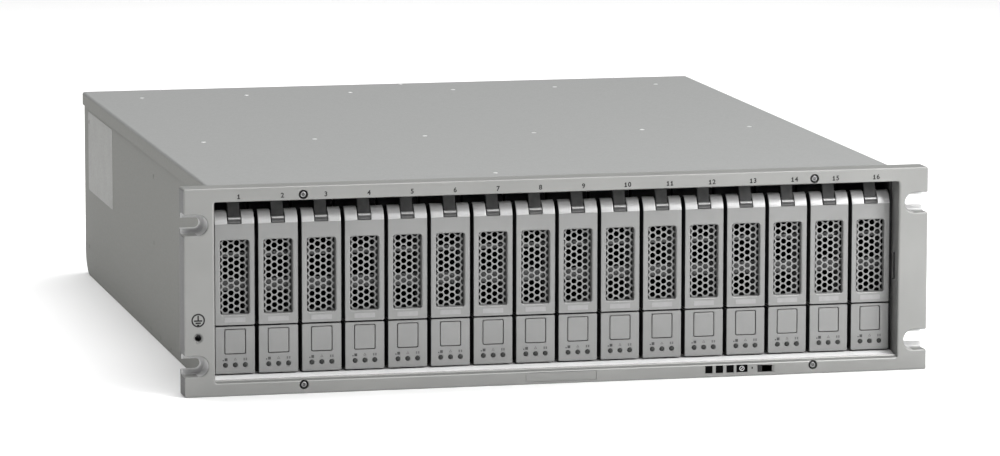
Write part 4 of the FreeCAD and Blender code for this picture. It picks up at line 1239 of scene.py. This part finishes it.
def makeBezel():
    size = driveBezel
    piece = roundBlock("drive_bezel", (-faceHalf, faceY, carrierLow.z), (faceHalf, noseY + 0.5 * mm, size["top"]),
                       size["corner"])
    gap = size["gap"]
    # split across the well and the lamps first, so that no cut leaves a face with a hole in it
    for height in (size["ledHeight"], (buttonLow.z + buttonHigh.z) / 2):
        splitAt(piece, (0, 0, height), (0, 0, 1))
    carve(piece, roundBlock("cutter", (-buttonHalf - gap, faceY - past, buttonLow.z - 0.1 * mm),
                            (buttonHalf + gap, faceY + size["wellDepth"], buttonHigh.z + gap), size["wellRound"]))
    for step in (-1, 0, 1):
        spot = (step * size["ledSpread"], faceY, size["ledHeight"])
        carve(piece, addRod("cutter", spot, size["ledRadius"] + 0.1 * mm, 2 * mm, sides=28))
    finishPiece(piece, "driveSilver", size["edge"])
    # painted shade: the bezel's side faces and the key's well are painted dark
    dressFaces(piece, "paintedShade", lambda centre, normal: (
        (abs(normal.x) > 0.97 and abs(centre.x) > faceHalf - 0.1 * mm)
        or (centre.y > faceY + 0.6 * mm and abs(centre.x) < buttonHalf + 2 * gap)))
    return piece


def makeLeds():
    parts = []
    for step in (-1, 0, 1):
        spot = (step * driveBezel["ledSpread"], faceY + 0.35 * mm, driveBezel["ledHeight"])
        parts.append(addStud(spot, driveBezel["ledRadius"], 0.5 * mm, "Y"))
    piece = joinPieces("status_leds", parts)
    makeActive(piece)
    bpy.ops.object.shade_smooth()
    return dress(piece, "ledLens")


def makeDriveSigns():
    depth = frameSigns["printDepth"]
    z = driveBezel["signHeight"]
    spread = driveBezel["ledSpread"]
    # dot and block
    first = [
        addPrint(Vector((-spread - 1.3 * mm, faceY, z - 0.5 * mm)), 0.8 * mm, 0.8 * mm),
        addPrint(Vector((-spread + 0.5 * mm, faceY, z)), 1.8 * mm, 1.8 * mm),
    ]
    first = dress(joinPieces("first_sign", first), "greyInk")
    # triangle of three bars
    corners = [(math.cos(turn), math.sin(turn)) for turn in [math.radians(90 + 120 * step) for step in range(3)]]
    others = []
    for step in range(3):
        start, end = corners[step], corners[(step + 1) % 3]
        ring = [(start, 1.15), (end, 1.15), (end, 0.6), (start, 0.6)]
        others.append(addPrism("sign", [(x * size * mm, faceY - depth, z + y * size * mm) for (x, y), size in ring],
                               (0, 2 * depth, 0)))
    # two bars
    for offset in (-0.7 * mm, 0.7 * mm):
        others.append(addPrint(Vector((spread + offset, faceY, z)), 0.9 * mm, 1.6 * mm))
    others = dress(joinPieces("other_signs", others), "faintInk")
    return joinPieces("drive_signs", [first, others])


def makeButton():
    size = driveBezel
    piece = roundBlock("release_key", (-buttonHalf, buttonLow.y, buttonLow.z + size["keyLift"]),
                       (buttonHalf, buttonHigh.y, buttonHigh.z), size["keyRound"])
    return finishPiece(piece, "driveSilver", size["keyEdge"], 3)


def makeLabelPlate():
    width, low, high = latchLever["label"]
    plate = roundBlock("label_plate", (-width / 2, faceY - 0.1 * mm, low), (width / 2, faceY + 0.3 * mm, high), 0.4 * mm)
    return dress(plate, "labelPlate")


driveDisk = {
    "edge": 0.8 * mm,
    "lidMargin": (5.0 * mm, 4.0 * mm),
    "lidRound": 6.0 * mm,
    "groove": 0.8 * mm,
    "grooveDepth": 0.5 * mm,
    "hub": (48.0 * mm, 17.0 * mm),
    "label": ((80 * mm, 22 * mm), (138 * mm, 82 * mm)),
    "screw": 2.1 * mm,
    "boardMargin": (6.0 * mm, 5.0 * mm),
    "boardDepth": 1.8 * mm,
    "chips": ((30, 30, 15, 15), (62, 58, 18, 12), (95, 28, 12, 20), (118, 66, 14, 14), (40, 76, 10, 8)),
    "chipLift": 1.0 * mm,
}


def boxOf(piece):
    corners = [Vector(corner) for corner in piece.bound_box]
    low = Vector([min(corner[axis] for corner in corners) for axis in range(3)])
    high = Vector([max(corner[axis] for corner in corners) for axis in range(3)])
    return low, high


def makeDisk(disk, plugReach):
    # lid with a groove round it on the left, circuit board in a recess on the right
    size = driveDisk
    low, high = boxOf(disk)
    high.y -= plugReach
    marginY, marginZ = size["lidMargin"]
    groove, deep = size["groove"], size["grooveDepth"]
    lidLow = Vector((low.x - past, low.y + marginY, low.z + marginZ))
    lidHigh = Vector((low.x + deep, high.y - marginY, high.z - marginZ))
    band = roundBlock("cutter", lidLow, lidHigh, size["lidRound"], axis=0)
    step = Vector((0, groove, groove))
    carve(band, roundBlock("cutter", lidLow + step - Vector((past, 0, 0)), lidHigh - step + Vector((past, 0, 0)),
                           size["lidRound"] - groove, axis=0))
    carve(disk, band)
    hubY, hubRadius = size["hub"]
    hub = Vector((low.x, low.y + hubY, (low.z + high.z) / 2))
    ring = addRod("cutter", hub, hubRadius, 2 * deep, "X", 48)
    carve(ring, addRod("cutter", hub, hubRadius - groove, past, "X", 48))
    carve(disk, ring)
    boardY, boardZ = size["boardMargin"]
    boardLow = Vector((high.x - size["boardDepth"], low.y + boardY, low.z + boardZ))
    boardHigh = Vector((high.x + past, high.y - boardY, high.z - boardZ))
    carve(disk, roundBlock("cutter", boardLow, boardHigh, 3 * mm, axis=0))
    finishPiece(disk, "diskCast", 0.3 * mm, 2, 50)
    dressFaces(disk, "diskLid", lambda centre, normal: normal.x < -0.9 and centre.x < low.x + 0.1 * mm)
    dressFaces(disk, "boardGreen", lambda centre, normal: (
        normal.x > 0.9 and high.x - 2 * mm < centre.x < high.x - mm))
    dressFaces(disk, "blackPlastic", lambda centre, normal: centre.y > high.y + 0.1 * mm)
    parts = [disk]
    # lid screws, label and chips
    for y in (lidLow.y + 5 * mm, (lidLow.y + lidHigh.y) / 2, lidHigh.y - 5 * mm):
        for z in (lidLow.z + 5 * mm, lidHigh.z - 5 * mm):
            parts.append(dress(addStud((low.x, y, z), size["screw"], 0.15 * mm, "X"), "screwSteel"))
    (nearY, lowZ), (farY, highZ) = size["label"]
    label = roundBlock("label", (low.x - 0.06 * mm, low.y + nearY, low.z + lowZ),
                       (low.x + 0.1 * mm, low.y + farY, low.z + highZ), 1.5 * mm, axis=0)
    parts.append(dress(label, "stickerPaper"))
    for y, z, length, height in size["chips"]:
        corner = Vector((boardLow.x - 0.1 * mm, low.y + y * mm, low.z + z * mm))
        chip = addBlock("chip", corner, corner + Vector((size["chipLift"], length * mm, height * mm)))
        parts.append(finishPiece(chip, "blackPlastic", 0.15 * mm))
    return joinPieces("disk_unit", parts)


def makeTray():
    # tray, disk and hinge pin of the first bay, with the front block taken off, moved to x = 0
    tray = copyNode("drive_carrier_01", "drive_tray")
    tray.data.transform(Matrix.Translation((-bayMiddle("01"), 0, 0)))
    parts = []
    for part in looseParts(tray):
        if part.dimensions.y < 5 * mm:
            parts.append(finishPiece(part, "screwSteel", 0.15 * mm))
        elif part.dimensions.x < 25.6 * mm:
            parts.append(makeDisk(part, 8.0 * mm))
        else:
            carveBlock(part, (-20 * mm, faceY - past, 0), (20 * mm, noseY, driveBezel["top"] + 0.4 * mm))
            splitAt(part, (0, noseBack, 0), (0, 1, 0))
            finishPiece(part, "traySteel", 0.3 * mm)
            # painted shade: the nose of the tray is painted dark
            dressFaces(part, "paintedShade", lambda centre, normal: centre.y < noseBack + 0.2 * mm)
            parts.append(part)
    return joinPieces("drive_tray", parts)


def makeDrives():
    lever = joinPieces("lever", [makeLeverShell(), makeGrille(), makeLeverRibs(), makeLabelPlate()])
    tongue = makeTongue()
    carrier = joinPieces("carrier", [makeBezel(), makeTray()])
    leds = makeLeds()
    signs = makeDriveSigns()
    button = makeButton()
    for number in bays:
        shift = (bayMiddle(number), 0, 0)
        drive, leverBody, buttonBody = f"drive_{number}", f"lever_{number}", f"button_{number}"
        settle(copyPiece(lever, f"{leverBody}_shell", shift), leverBody, "drive_front", f"latch_lever_{number}")
        settle(copyPiece(tongue, f"{leverBody}_tongue", shift), leverBody, "dark_steel")
        settle(copyPiece(carrier, f"{drive}_carrier", shift), drive, "drive_tray", f"drive_carrier_{number}")
        settle(copyPiece(leds, f"{drive}_leds", shift), drive, "black_plastic")
        settle(copyPiece(signs, f"{drive}_signs", shift), drive, "black_plastic")
        settle(copyPiece(button, f"{buttonBody}_key", shift), buttonBody, "drive_front", f"release_button_{number}")
    for master in (lever, tongue, carrier, leds, signs, button):
        bpy.data.objects.remove(master)


makeDrives()
print("drives made")

# Midplane board with its sockets
def makeMidplane():
    low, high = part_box("midplane_board")
    boardY = high.y - 2.4 * mm
    piece = copyNode("midplane_board", "midplane_sheet")
    finishPiece(piece, "boardGreen", 0.15 * mm, 2, 50)
    dressFaces(piece, "blackPlastic", lambda centre, normal: centre.y < boardY - 0.1 * mm)
    return settle(piece, "chassis", "board_laminate", "midplane_board")


makeMidplane()
print("midplane made")

# Rear modules
rearFace = 248.0 * mm
fanGuard = {
    "rings": (11.0 * mm, 21.0 * mm, 31.0 * mm, 41.2 * mm),
    "wire": 0.8 * mm,
    "bar": 86.0 * mm,
    "lift": 0.9 * mm,
    "screw": 3.0 * mm,
}
fanWell = {"radius": 41.0 * mm, "drop": 44.0 * mm}
thumbScrew = {"head": 4.2 * mm, "length": 7.0 * mm, "collar": 5.4 * mm, "collarLength": 1.2 * mm, "ridges": 18}
mainsInlet = {
    "left": 12.0 * mm,
    "bottom": 7.4 * mm,
    "width": 27.0 * mm,
    "height": 19.6 * mm,
    "depth": 19.5 * mm,
    "rim": 1.6 * mm,
    "pins": ((-7.0 * mm, -1.5 * mm), (0, 2.5 * mm), (7.0 * mm, -1.5 * mm)),
    "pin": (1.0 * mm, 2.2 * mm, 13.0 * mm),
}
handleEdge = 2.2 * mm
moduleEdge = 0.4 * mm


def makeThumbScrew(x, z):
    # ridged head on a collar, standing on the rear face
    size = thumbScrew
    collar = addRod("collar", (x, rearFace + size["collarLength"] / 2, z), size["collar"], size["collarLength"])
    roundEdges(collar, 0.3 * mm)
    middle = Vector((x, rearFace + size["collarLength"] + size["length"] / 2, z))
    head = addRod("head", middle, size["head"], size["length"], sides=2 * size["ridges"])
    editAll(head)
    bpy.ops.mesh.select_mode(type="VERT")
    bpy.ops.mesh.select_all(action="DESELECT")
    leaveEdit()
    for point in head.data.vertices:
        turn = math.atan2(point.co.z - middle.z, point.co.x - middle.x)
        point.select = round(turn * size["ridges"] / math.pi) % 2 == 0
    bpy.ops.object.mode_set(mode="EDIT")
    bpy.ops.transform.resize(value=(0.92, 1, 0.92), center_override=middle)
    leaveEdit()
    end = Vector((x, rearFace + size["collarLength"] + size["length"], z))
    carve(head, addBlock("cutter", end - Vector((past, mm, 0.5 * mm)), end + Vector((past, mm, 0.5 * mm))))
    piece = joinPieces("thumb_screw", [collar, head])
    return dress(piece, "screwSteel")


def handleHeight(node):
    heights = [point.co.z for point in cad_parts[node].data.vertices if point.co.y > rearFace + mm]
    return (min(heights) + max(heights)) / 2


def roundHandle(piece):
    # bar and posts, which stand behind the rear face
    editEdges(piece, lambda p, q: max(p.y, q.y) > rearFace + mm)
    bpy.ops.mesh.bevel(offset=handleEdge, segments=4)
    leaveEdit()


def inBox(point, low, high):
    return all(low[axis] < point[axis] < high[axis] for axis in range(3))


def makeInlet(left):
    # black body with a rim, open at the rear, and three flat pins
    size = mainsInlet
    low = Vector((left + size["left"], rearFace - size["depth"], size["bottom"]))
    high = Vector((low.x + size["width"], rearFace + 0.6 * mm, low.z + size["height"]))
    body = roundBlock("mains_inlet", low + Vector((0.05 * mm, 0, 0.05 * mm)), high - Vector((0.05 * mm, 0, 0.05 * mm)), 1.0 * mm)
    rim = Vector((size["rim"], 0, size["rim"]))
    carve(body, roundBlock("cutter", low + rim + Vector((0, 3 * mm, 0)), high - rim + Vector((0, past, 0)), 2.5 * mm))
    finishPiece(body, "blackPlastic", 0.25 * mm)
    middle = (low + high) / 2
    width, height, length = size["pin"]
    parts = [body]
    for x, z in size["pins"]:
        corner = Vector((middle.x + x - width, low.y + 2.5 * mm, middle.z + z - height))
        pin = addBlock("pin", corner, corner + Vector((2 * width, length, 2 * height)))
        parts.append(finishPiece(pin, "screwSteel", 0.3 * mm))
    return joinPieces("mains_inlet", parts)


def makeGuard(x, z):
    # wire rings on a cross, held by four screws
    size = fanGuard
    y = rearFace + size["lift"]
    parts = [addRing("ring", (x, y, z), radius, size["wire"]) for radius in size["rings"]]
    parts.append(addRod("bar", (x, y + size["wire"], z), size["wire"], size["bar"], "X", 12))
    parts.append(addRod("bar", (x, y + size["wire"], z), size["wire"], size["bar"], "Z", 12))
    reach = size["bar"] / 2
    for dx, dz in ((reach, 0), (-reach, 0), (0, reach), (0, -reach)):
        parts.append(addStud((x + dx, rearFace, z + dz), size["screw"], 2.6 * mm, "Y"))
    piece = joinPieces("fan_guard", parts)
    smoothShade(piece)
    return dress(piece, "screwSteel")


rearLed = {"radius": 1.3 * mm, "lift": 0.6 * mm}


def makeRearLeds(spots):
    parts = [addStud((x, rearFace, z), rearLed["radius"], rearLed["lift"], "Y") for x, z in spots]
    piece = joinPieces("rear_leds", parts)
    makeActive(piece)
    bpy.ops.object.shade_smooth()
    return dress(piece, "greenLens")


def makePowerModule(node, body):
    low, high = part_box(node)
    fanX, fanZ = (low.x + high.x) / 2, high.z - fanWell["drop"]
    inletMiddle = mainsInlet["bottom"] + mainsInlet["height"] / 2
    case = copyNode(node, f"{body}_case", (fanZ, inletMiddle, handleHeight(node)))
    parts = looseParts(case)
    case = max(parts, key=lambda part: part.dimensions.y)
    for part in parts:
        if part != case:
            bpy.data.objects.remove(part)
    roundHandle(case)
    finishPiece(case, "moduleMetal", moduleEdge, 2, 50)
    case.name = f"{body}_case"
    radius = fanWell["radius"] + 0.05 * mm
    # painted shade: the walls of the fan well are painted dark
    dressFaces(case, "innerShade", lambda centre, normal: (
        rearFace - 0.15 < centre.y < rearFace - 0.5 * mm
        and math.hypot(centre.x - fanX, centre.z - fanZ) < radius))
    settle(case, body, "module_metal", node)
    guard = makeGuard(fanX, fanZ)
    guard.name = f"{body}_guard"
    settle(guard, body, "dark_steel")
    ledX = low.x + 45 * mm
    fittings = joinPieces(f"{body}_fittings", [
        makeInlet(low.x),
        makeThumbScrew(low.x + 7 * mm, 34 * mm),
        makeThumbScrew(high.x - 7 * mm, 34 * mm),
        makeRearLeds(((ledX, 21 * mm), (ledX, 16 * mm), (ledX, 11 * mm))),
    ])
    settle(fittings, body, "black_plastic")


fanRotor = {
    "hub": 15.0 * mm,
    "hubLow": 223.0 * mm,
    "hubHigh": 243.0 * mm,
    "hubRound": 2.5 * mm,
    "axle": 2.5 * mm,
    "axleLow": 210.0 * mm,
    "blades": 7,
    "root": 13.5 * mm,
    "tip": 39.0 * mm,
    "steps": 6,
    "chord": 15.0 * mm,
    "thickness": 1.3 * mm,
    "pitch": 48,
    "twist": 14,
    "sweep": 26,
}


def makeBlade():
    # section at the hub, extruded outward in steps that sweep and twist
    size = fanRotor
    middle = Vector((size["root"], (size["hubLow"] + size["hubHigh"]) / 2, 0))
    clearSelection()
    bpy.ops.mesh.primitive_plane_add(size=1, location=middle, rotation=(0, math.pi / 2, 0))
    blade = bpy.context.object
    blade.scale = (size["thickness"], size["chord"], 1)
    bakePlace(blade)
    bpy.ops.object.mode_set(mode="EDIT")
    bpy.ops.mesh.select_all(action="SELECT")
    bpy.ops.transform.rotate(value=math.radians(size["pitch"]), orient_axis="X", center_override=middle)
    reach = (size["tip"] - size["root"]) / size["steps"]
    turn = math.radians(size["sweep"] / size["steps"])
    twist = math.radians(size["twist"] / size["steps"])
    angle = 0
    for step in range(size["steps"]):
        outward = Vector((math.cos(angle), 0, math.sin(angle)))
        bpy.ops.mesh.extrude_region_move(TRANSFORM_OT_translate={"value": outward * reach})
        middle = middle + outward * reach
        bpy.ops.transform.rotate(value=-twist, orient_axis="X", center_override=middle)
        angle += turn
    leaveEdit()
    turnOutward(blade)
    roundEdges(blade, 0.35 * mm, 2, 50)
    # ends inside the circle of the well
    return blade


def makeFanRotor(node, body):
    size = fanRotor
    low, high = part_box(node)
    x, z = (low.x + high.x) / 2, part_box("power_fan_left")[1].z - fanWell["drop"]
    length = size["hubHigh"] - size["hubLow"]
    hub = addRod("hub", (0, size["hubLow"] + length / 2, 0), size["hub"], length, sides=48)
    editFaces(hub, lambda centre, normal: abs(normal.y) > 0.9)
    bpy.ops.mesh.bevel(offset=size["hubRound"], segments=4)
    leaveEdit()
    carve(hub, addRod("cutter", (0, size["hubHigh"], 0), size["hub"] - 3.5 * mm, 1.0 * mm, sides=40))
    axleLength = size["hubLow"] - size["axleLow"] + mm
    axle = addRod("axle", (0, size["axleLow"] + axleLength / 2, 0), size["axle"], axleLength, sides=20)
    blade = makeBlade()
    parts = [hub, axle]
    for number in range(size["blades"]):
        copy = copyPiece(blade, "blade")
        copy.data.transform(Matrix.Rotation(2 * math.pi * number / size["blades"], 4, "Y"))
        parts.append(copy)
    bpy.data.objects.remove(blade)
    rotor = joinPieces(f"{body}_rotor", parts)
    rotor.data.transform(Matrix.Translation((x, 0, z)))
    smoothShade(rotor)
    dress(rotor, "blackPlastic")
    settle(rotor, body, "black_plastic", node)


ioModule = {
    "ports": 4,
    "portLeft": 20.0 * mm,
    "portPitch": 18.0 * mm,
    "portSize": (14.4 * mm, 9.6 * mm),
    "portRise": 16.0 * mm,
    "cage": 0.7 * mm,
    "cageLift": 0.8 * mm,
    "insertDepth": 9.0 * mm,
    "bore": 1.7 * mm,
    "boreSpread": 3.1 * mm,
    "jack": (104.0 * mm, 12.0 * mm, 10.0 * mm, 13.0 * mm),
    "contacts": 8,
    "contact": (0.5 * mm, 0.9 * mm),
    "vents": 36,
    "ventPitch": 5.4 * mm,
    "vent": (2.6 * mm, 14.0 * mm, 2.5 * mm),
    "ventRise": 48.0 * mm,
}


def makePort(left, bottom):
    # metal cage round the opening, with an optical insert well inside
    size = ioModule
    width, height = size["portSize"]
    low = Vector((left, rearFace - size["insertDepth"], bottom))
    high = Vector((left + width, rearFace + size["cageLift"], bottom + height))
    cage = addBlock("cage", low, high)
    wall = Vector((size["cage"], 0, size["cage"]))
    carveBlock(cage, low + wall - Vector((0, past, 0)), high - wall + Vector((0, past, 0)))
    finishPiece(cage, "screwSteel", 0.12 * mm)
    insert = addBlock("insert", low + wall, Vector((high.x, rearFace - 3 * mm, high.z)) - wall)
    for side in (-1, 1):
        spot = ((low.x + high.x) / 2 + side * size["boreSpread"], rearFace - 3 * mm, (low.z + high.z) / 2)
        carve(insert, addRod("cutter", spot, size["bore"], 4 * mm, sides=20))
    finishPiece(insert, "blackPlastic", 0.15 * mm)
    return joinPieces("port", [cage, insert])


def makeJack(left, bottom):
    # square service jack with gold contacts
    size = ioModule
    inset, width, height, depth = size["jack"]
    low = Vector((left, rearFace - depth, bottom))
    high = Vector((left + width, rearFace + size["cageLift"], bottom + height))
    shell = addBlock("shell", low, high)
    wall = Vector((size["cage"], 0, size["cage"]))
    carveBlock(shell, low + wall + Vector((0, mm, 0)), high - wall + Vector((0, past, 0)))
    finishPiece(shell, "screwSteel", 0.12 * mm)
    dressFaces(shell, "blackPlastic", lambda centre, normal: (
        centre.y < rearFace - mm and normal.y > 0.5))
    parts = [shell]
    thick, pitch = size["contact"]
    for number in range(size["contacts"]):
        x = (low.x + high.x) / 2 + (number - (size["contacts"] - 1) / 2) * pitch
        strip = addPrism("contact", (
            (x - thick / 2, low.y + mm, high.z - size["cage"]),
            (x - thick / 2, rearFace - 2 * mm, high.z - size["cage"]),
            (x - thick / 2, low.y + mm, high.z - 4 * mm),
        ), (thick, 0, 0))
        parts.append(dress(strip, "gold"))
    return joinPieces("jack", parts)


def carveVents(piece, middleX, middleZ):
    # row of rounded slots, cut together
    size = ioModule
    width, height, depth = size["vent"]
    cutters = []
    for number in range(size["vents"]):
        x = middleX + (number - (size["vents"] - 1) / 2) * size["ventPitch"]
        cutters.append(roundBlock(
            "cutter", (x - width / 2, rearFace - depth, middleZ - height / 2),
            (x + width / 2, rearFace + past, middleZ + height / 2), 0.45 * width, segments=3))
    carve(piece, joinPieces("cutter", cutters))


def makeIoModule(node, body):
    size = ioModule
    low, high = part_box(node)
    case = copyNode(node, f"{body}_case", (low.z + size["portRise"], low.z + size["ventRise"], handleHeight(node)))
    roundHandle(case)
    carveVents(case, 0, low.z + size["ventRise"])
    finishPiece(case, "moduleMetal", moduleEdge, 2, 50)
    # painted shade: the faces inside the case are painted dark
    dressFaces(case, "innerShade", lambda centre, normal: (
        rearFace - 0.1 < centre.y < rearFace - 0.6 * mm
        and inBox(centre, low + Vector((2 * mm, 0, 2 * mm)), high - Vector((2 * mm, 0, 2 * mm)))))
    settle(case, body, "module_metal", node)
    portWidth, portHeight = size["portSize"]
    portBottom = low.z + size["portRise"] - portHeight / 2
    inset, width, height, depth = size["jack"]
    parts = []
    spots = []
    for number in range(size["ports"]):
        left = low.x + size["portLeft"] + number * size["portPitch"]
        parts.append(makePort(left, portBottom))
        spots += [(left + 3.5 * mm, portBottom + 13.5 * mm), (left + portWidth - 3.5 * mm, portBottom + 13.5 * mm)]
    parts.append(makeJack(low.x + inset, low.z + size["portRise"] - height / 2))
    spots += [(low.x + inset + 3 * mm, portBottom + 13.5 * mm), (low.x + inset + 9 * mm, portBottom + 13.5 * mm)]
    parts.append(makeRearLeds(spots))
    parts.append(makeThumbScrew(low.x + 8 * mm, low.z + 16 * mm))
    parts.append(makeThumbScrew(high.x - 8 * mm, low.z + 16 * mm))
    settle(joinPieces(f"{body}_fittings", parts), body, "black_plastic")


for side in ("left", "right"):
    makePowerModule(f"power_fan_{side}", f"power_{side}")
    makeFanRotor(f"fan_rotor_{side}", f"fan_{side}")
for level in ("lower", "upper"):
    makeIoModule(f"io_module_{level}", f"io_{level}")
print("rear modules made")
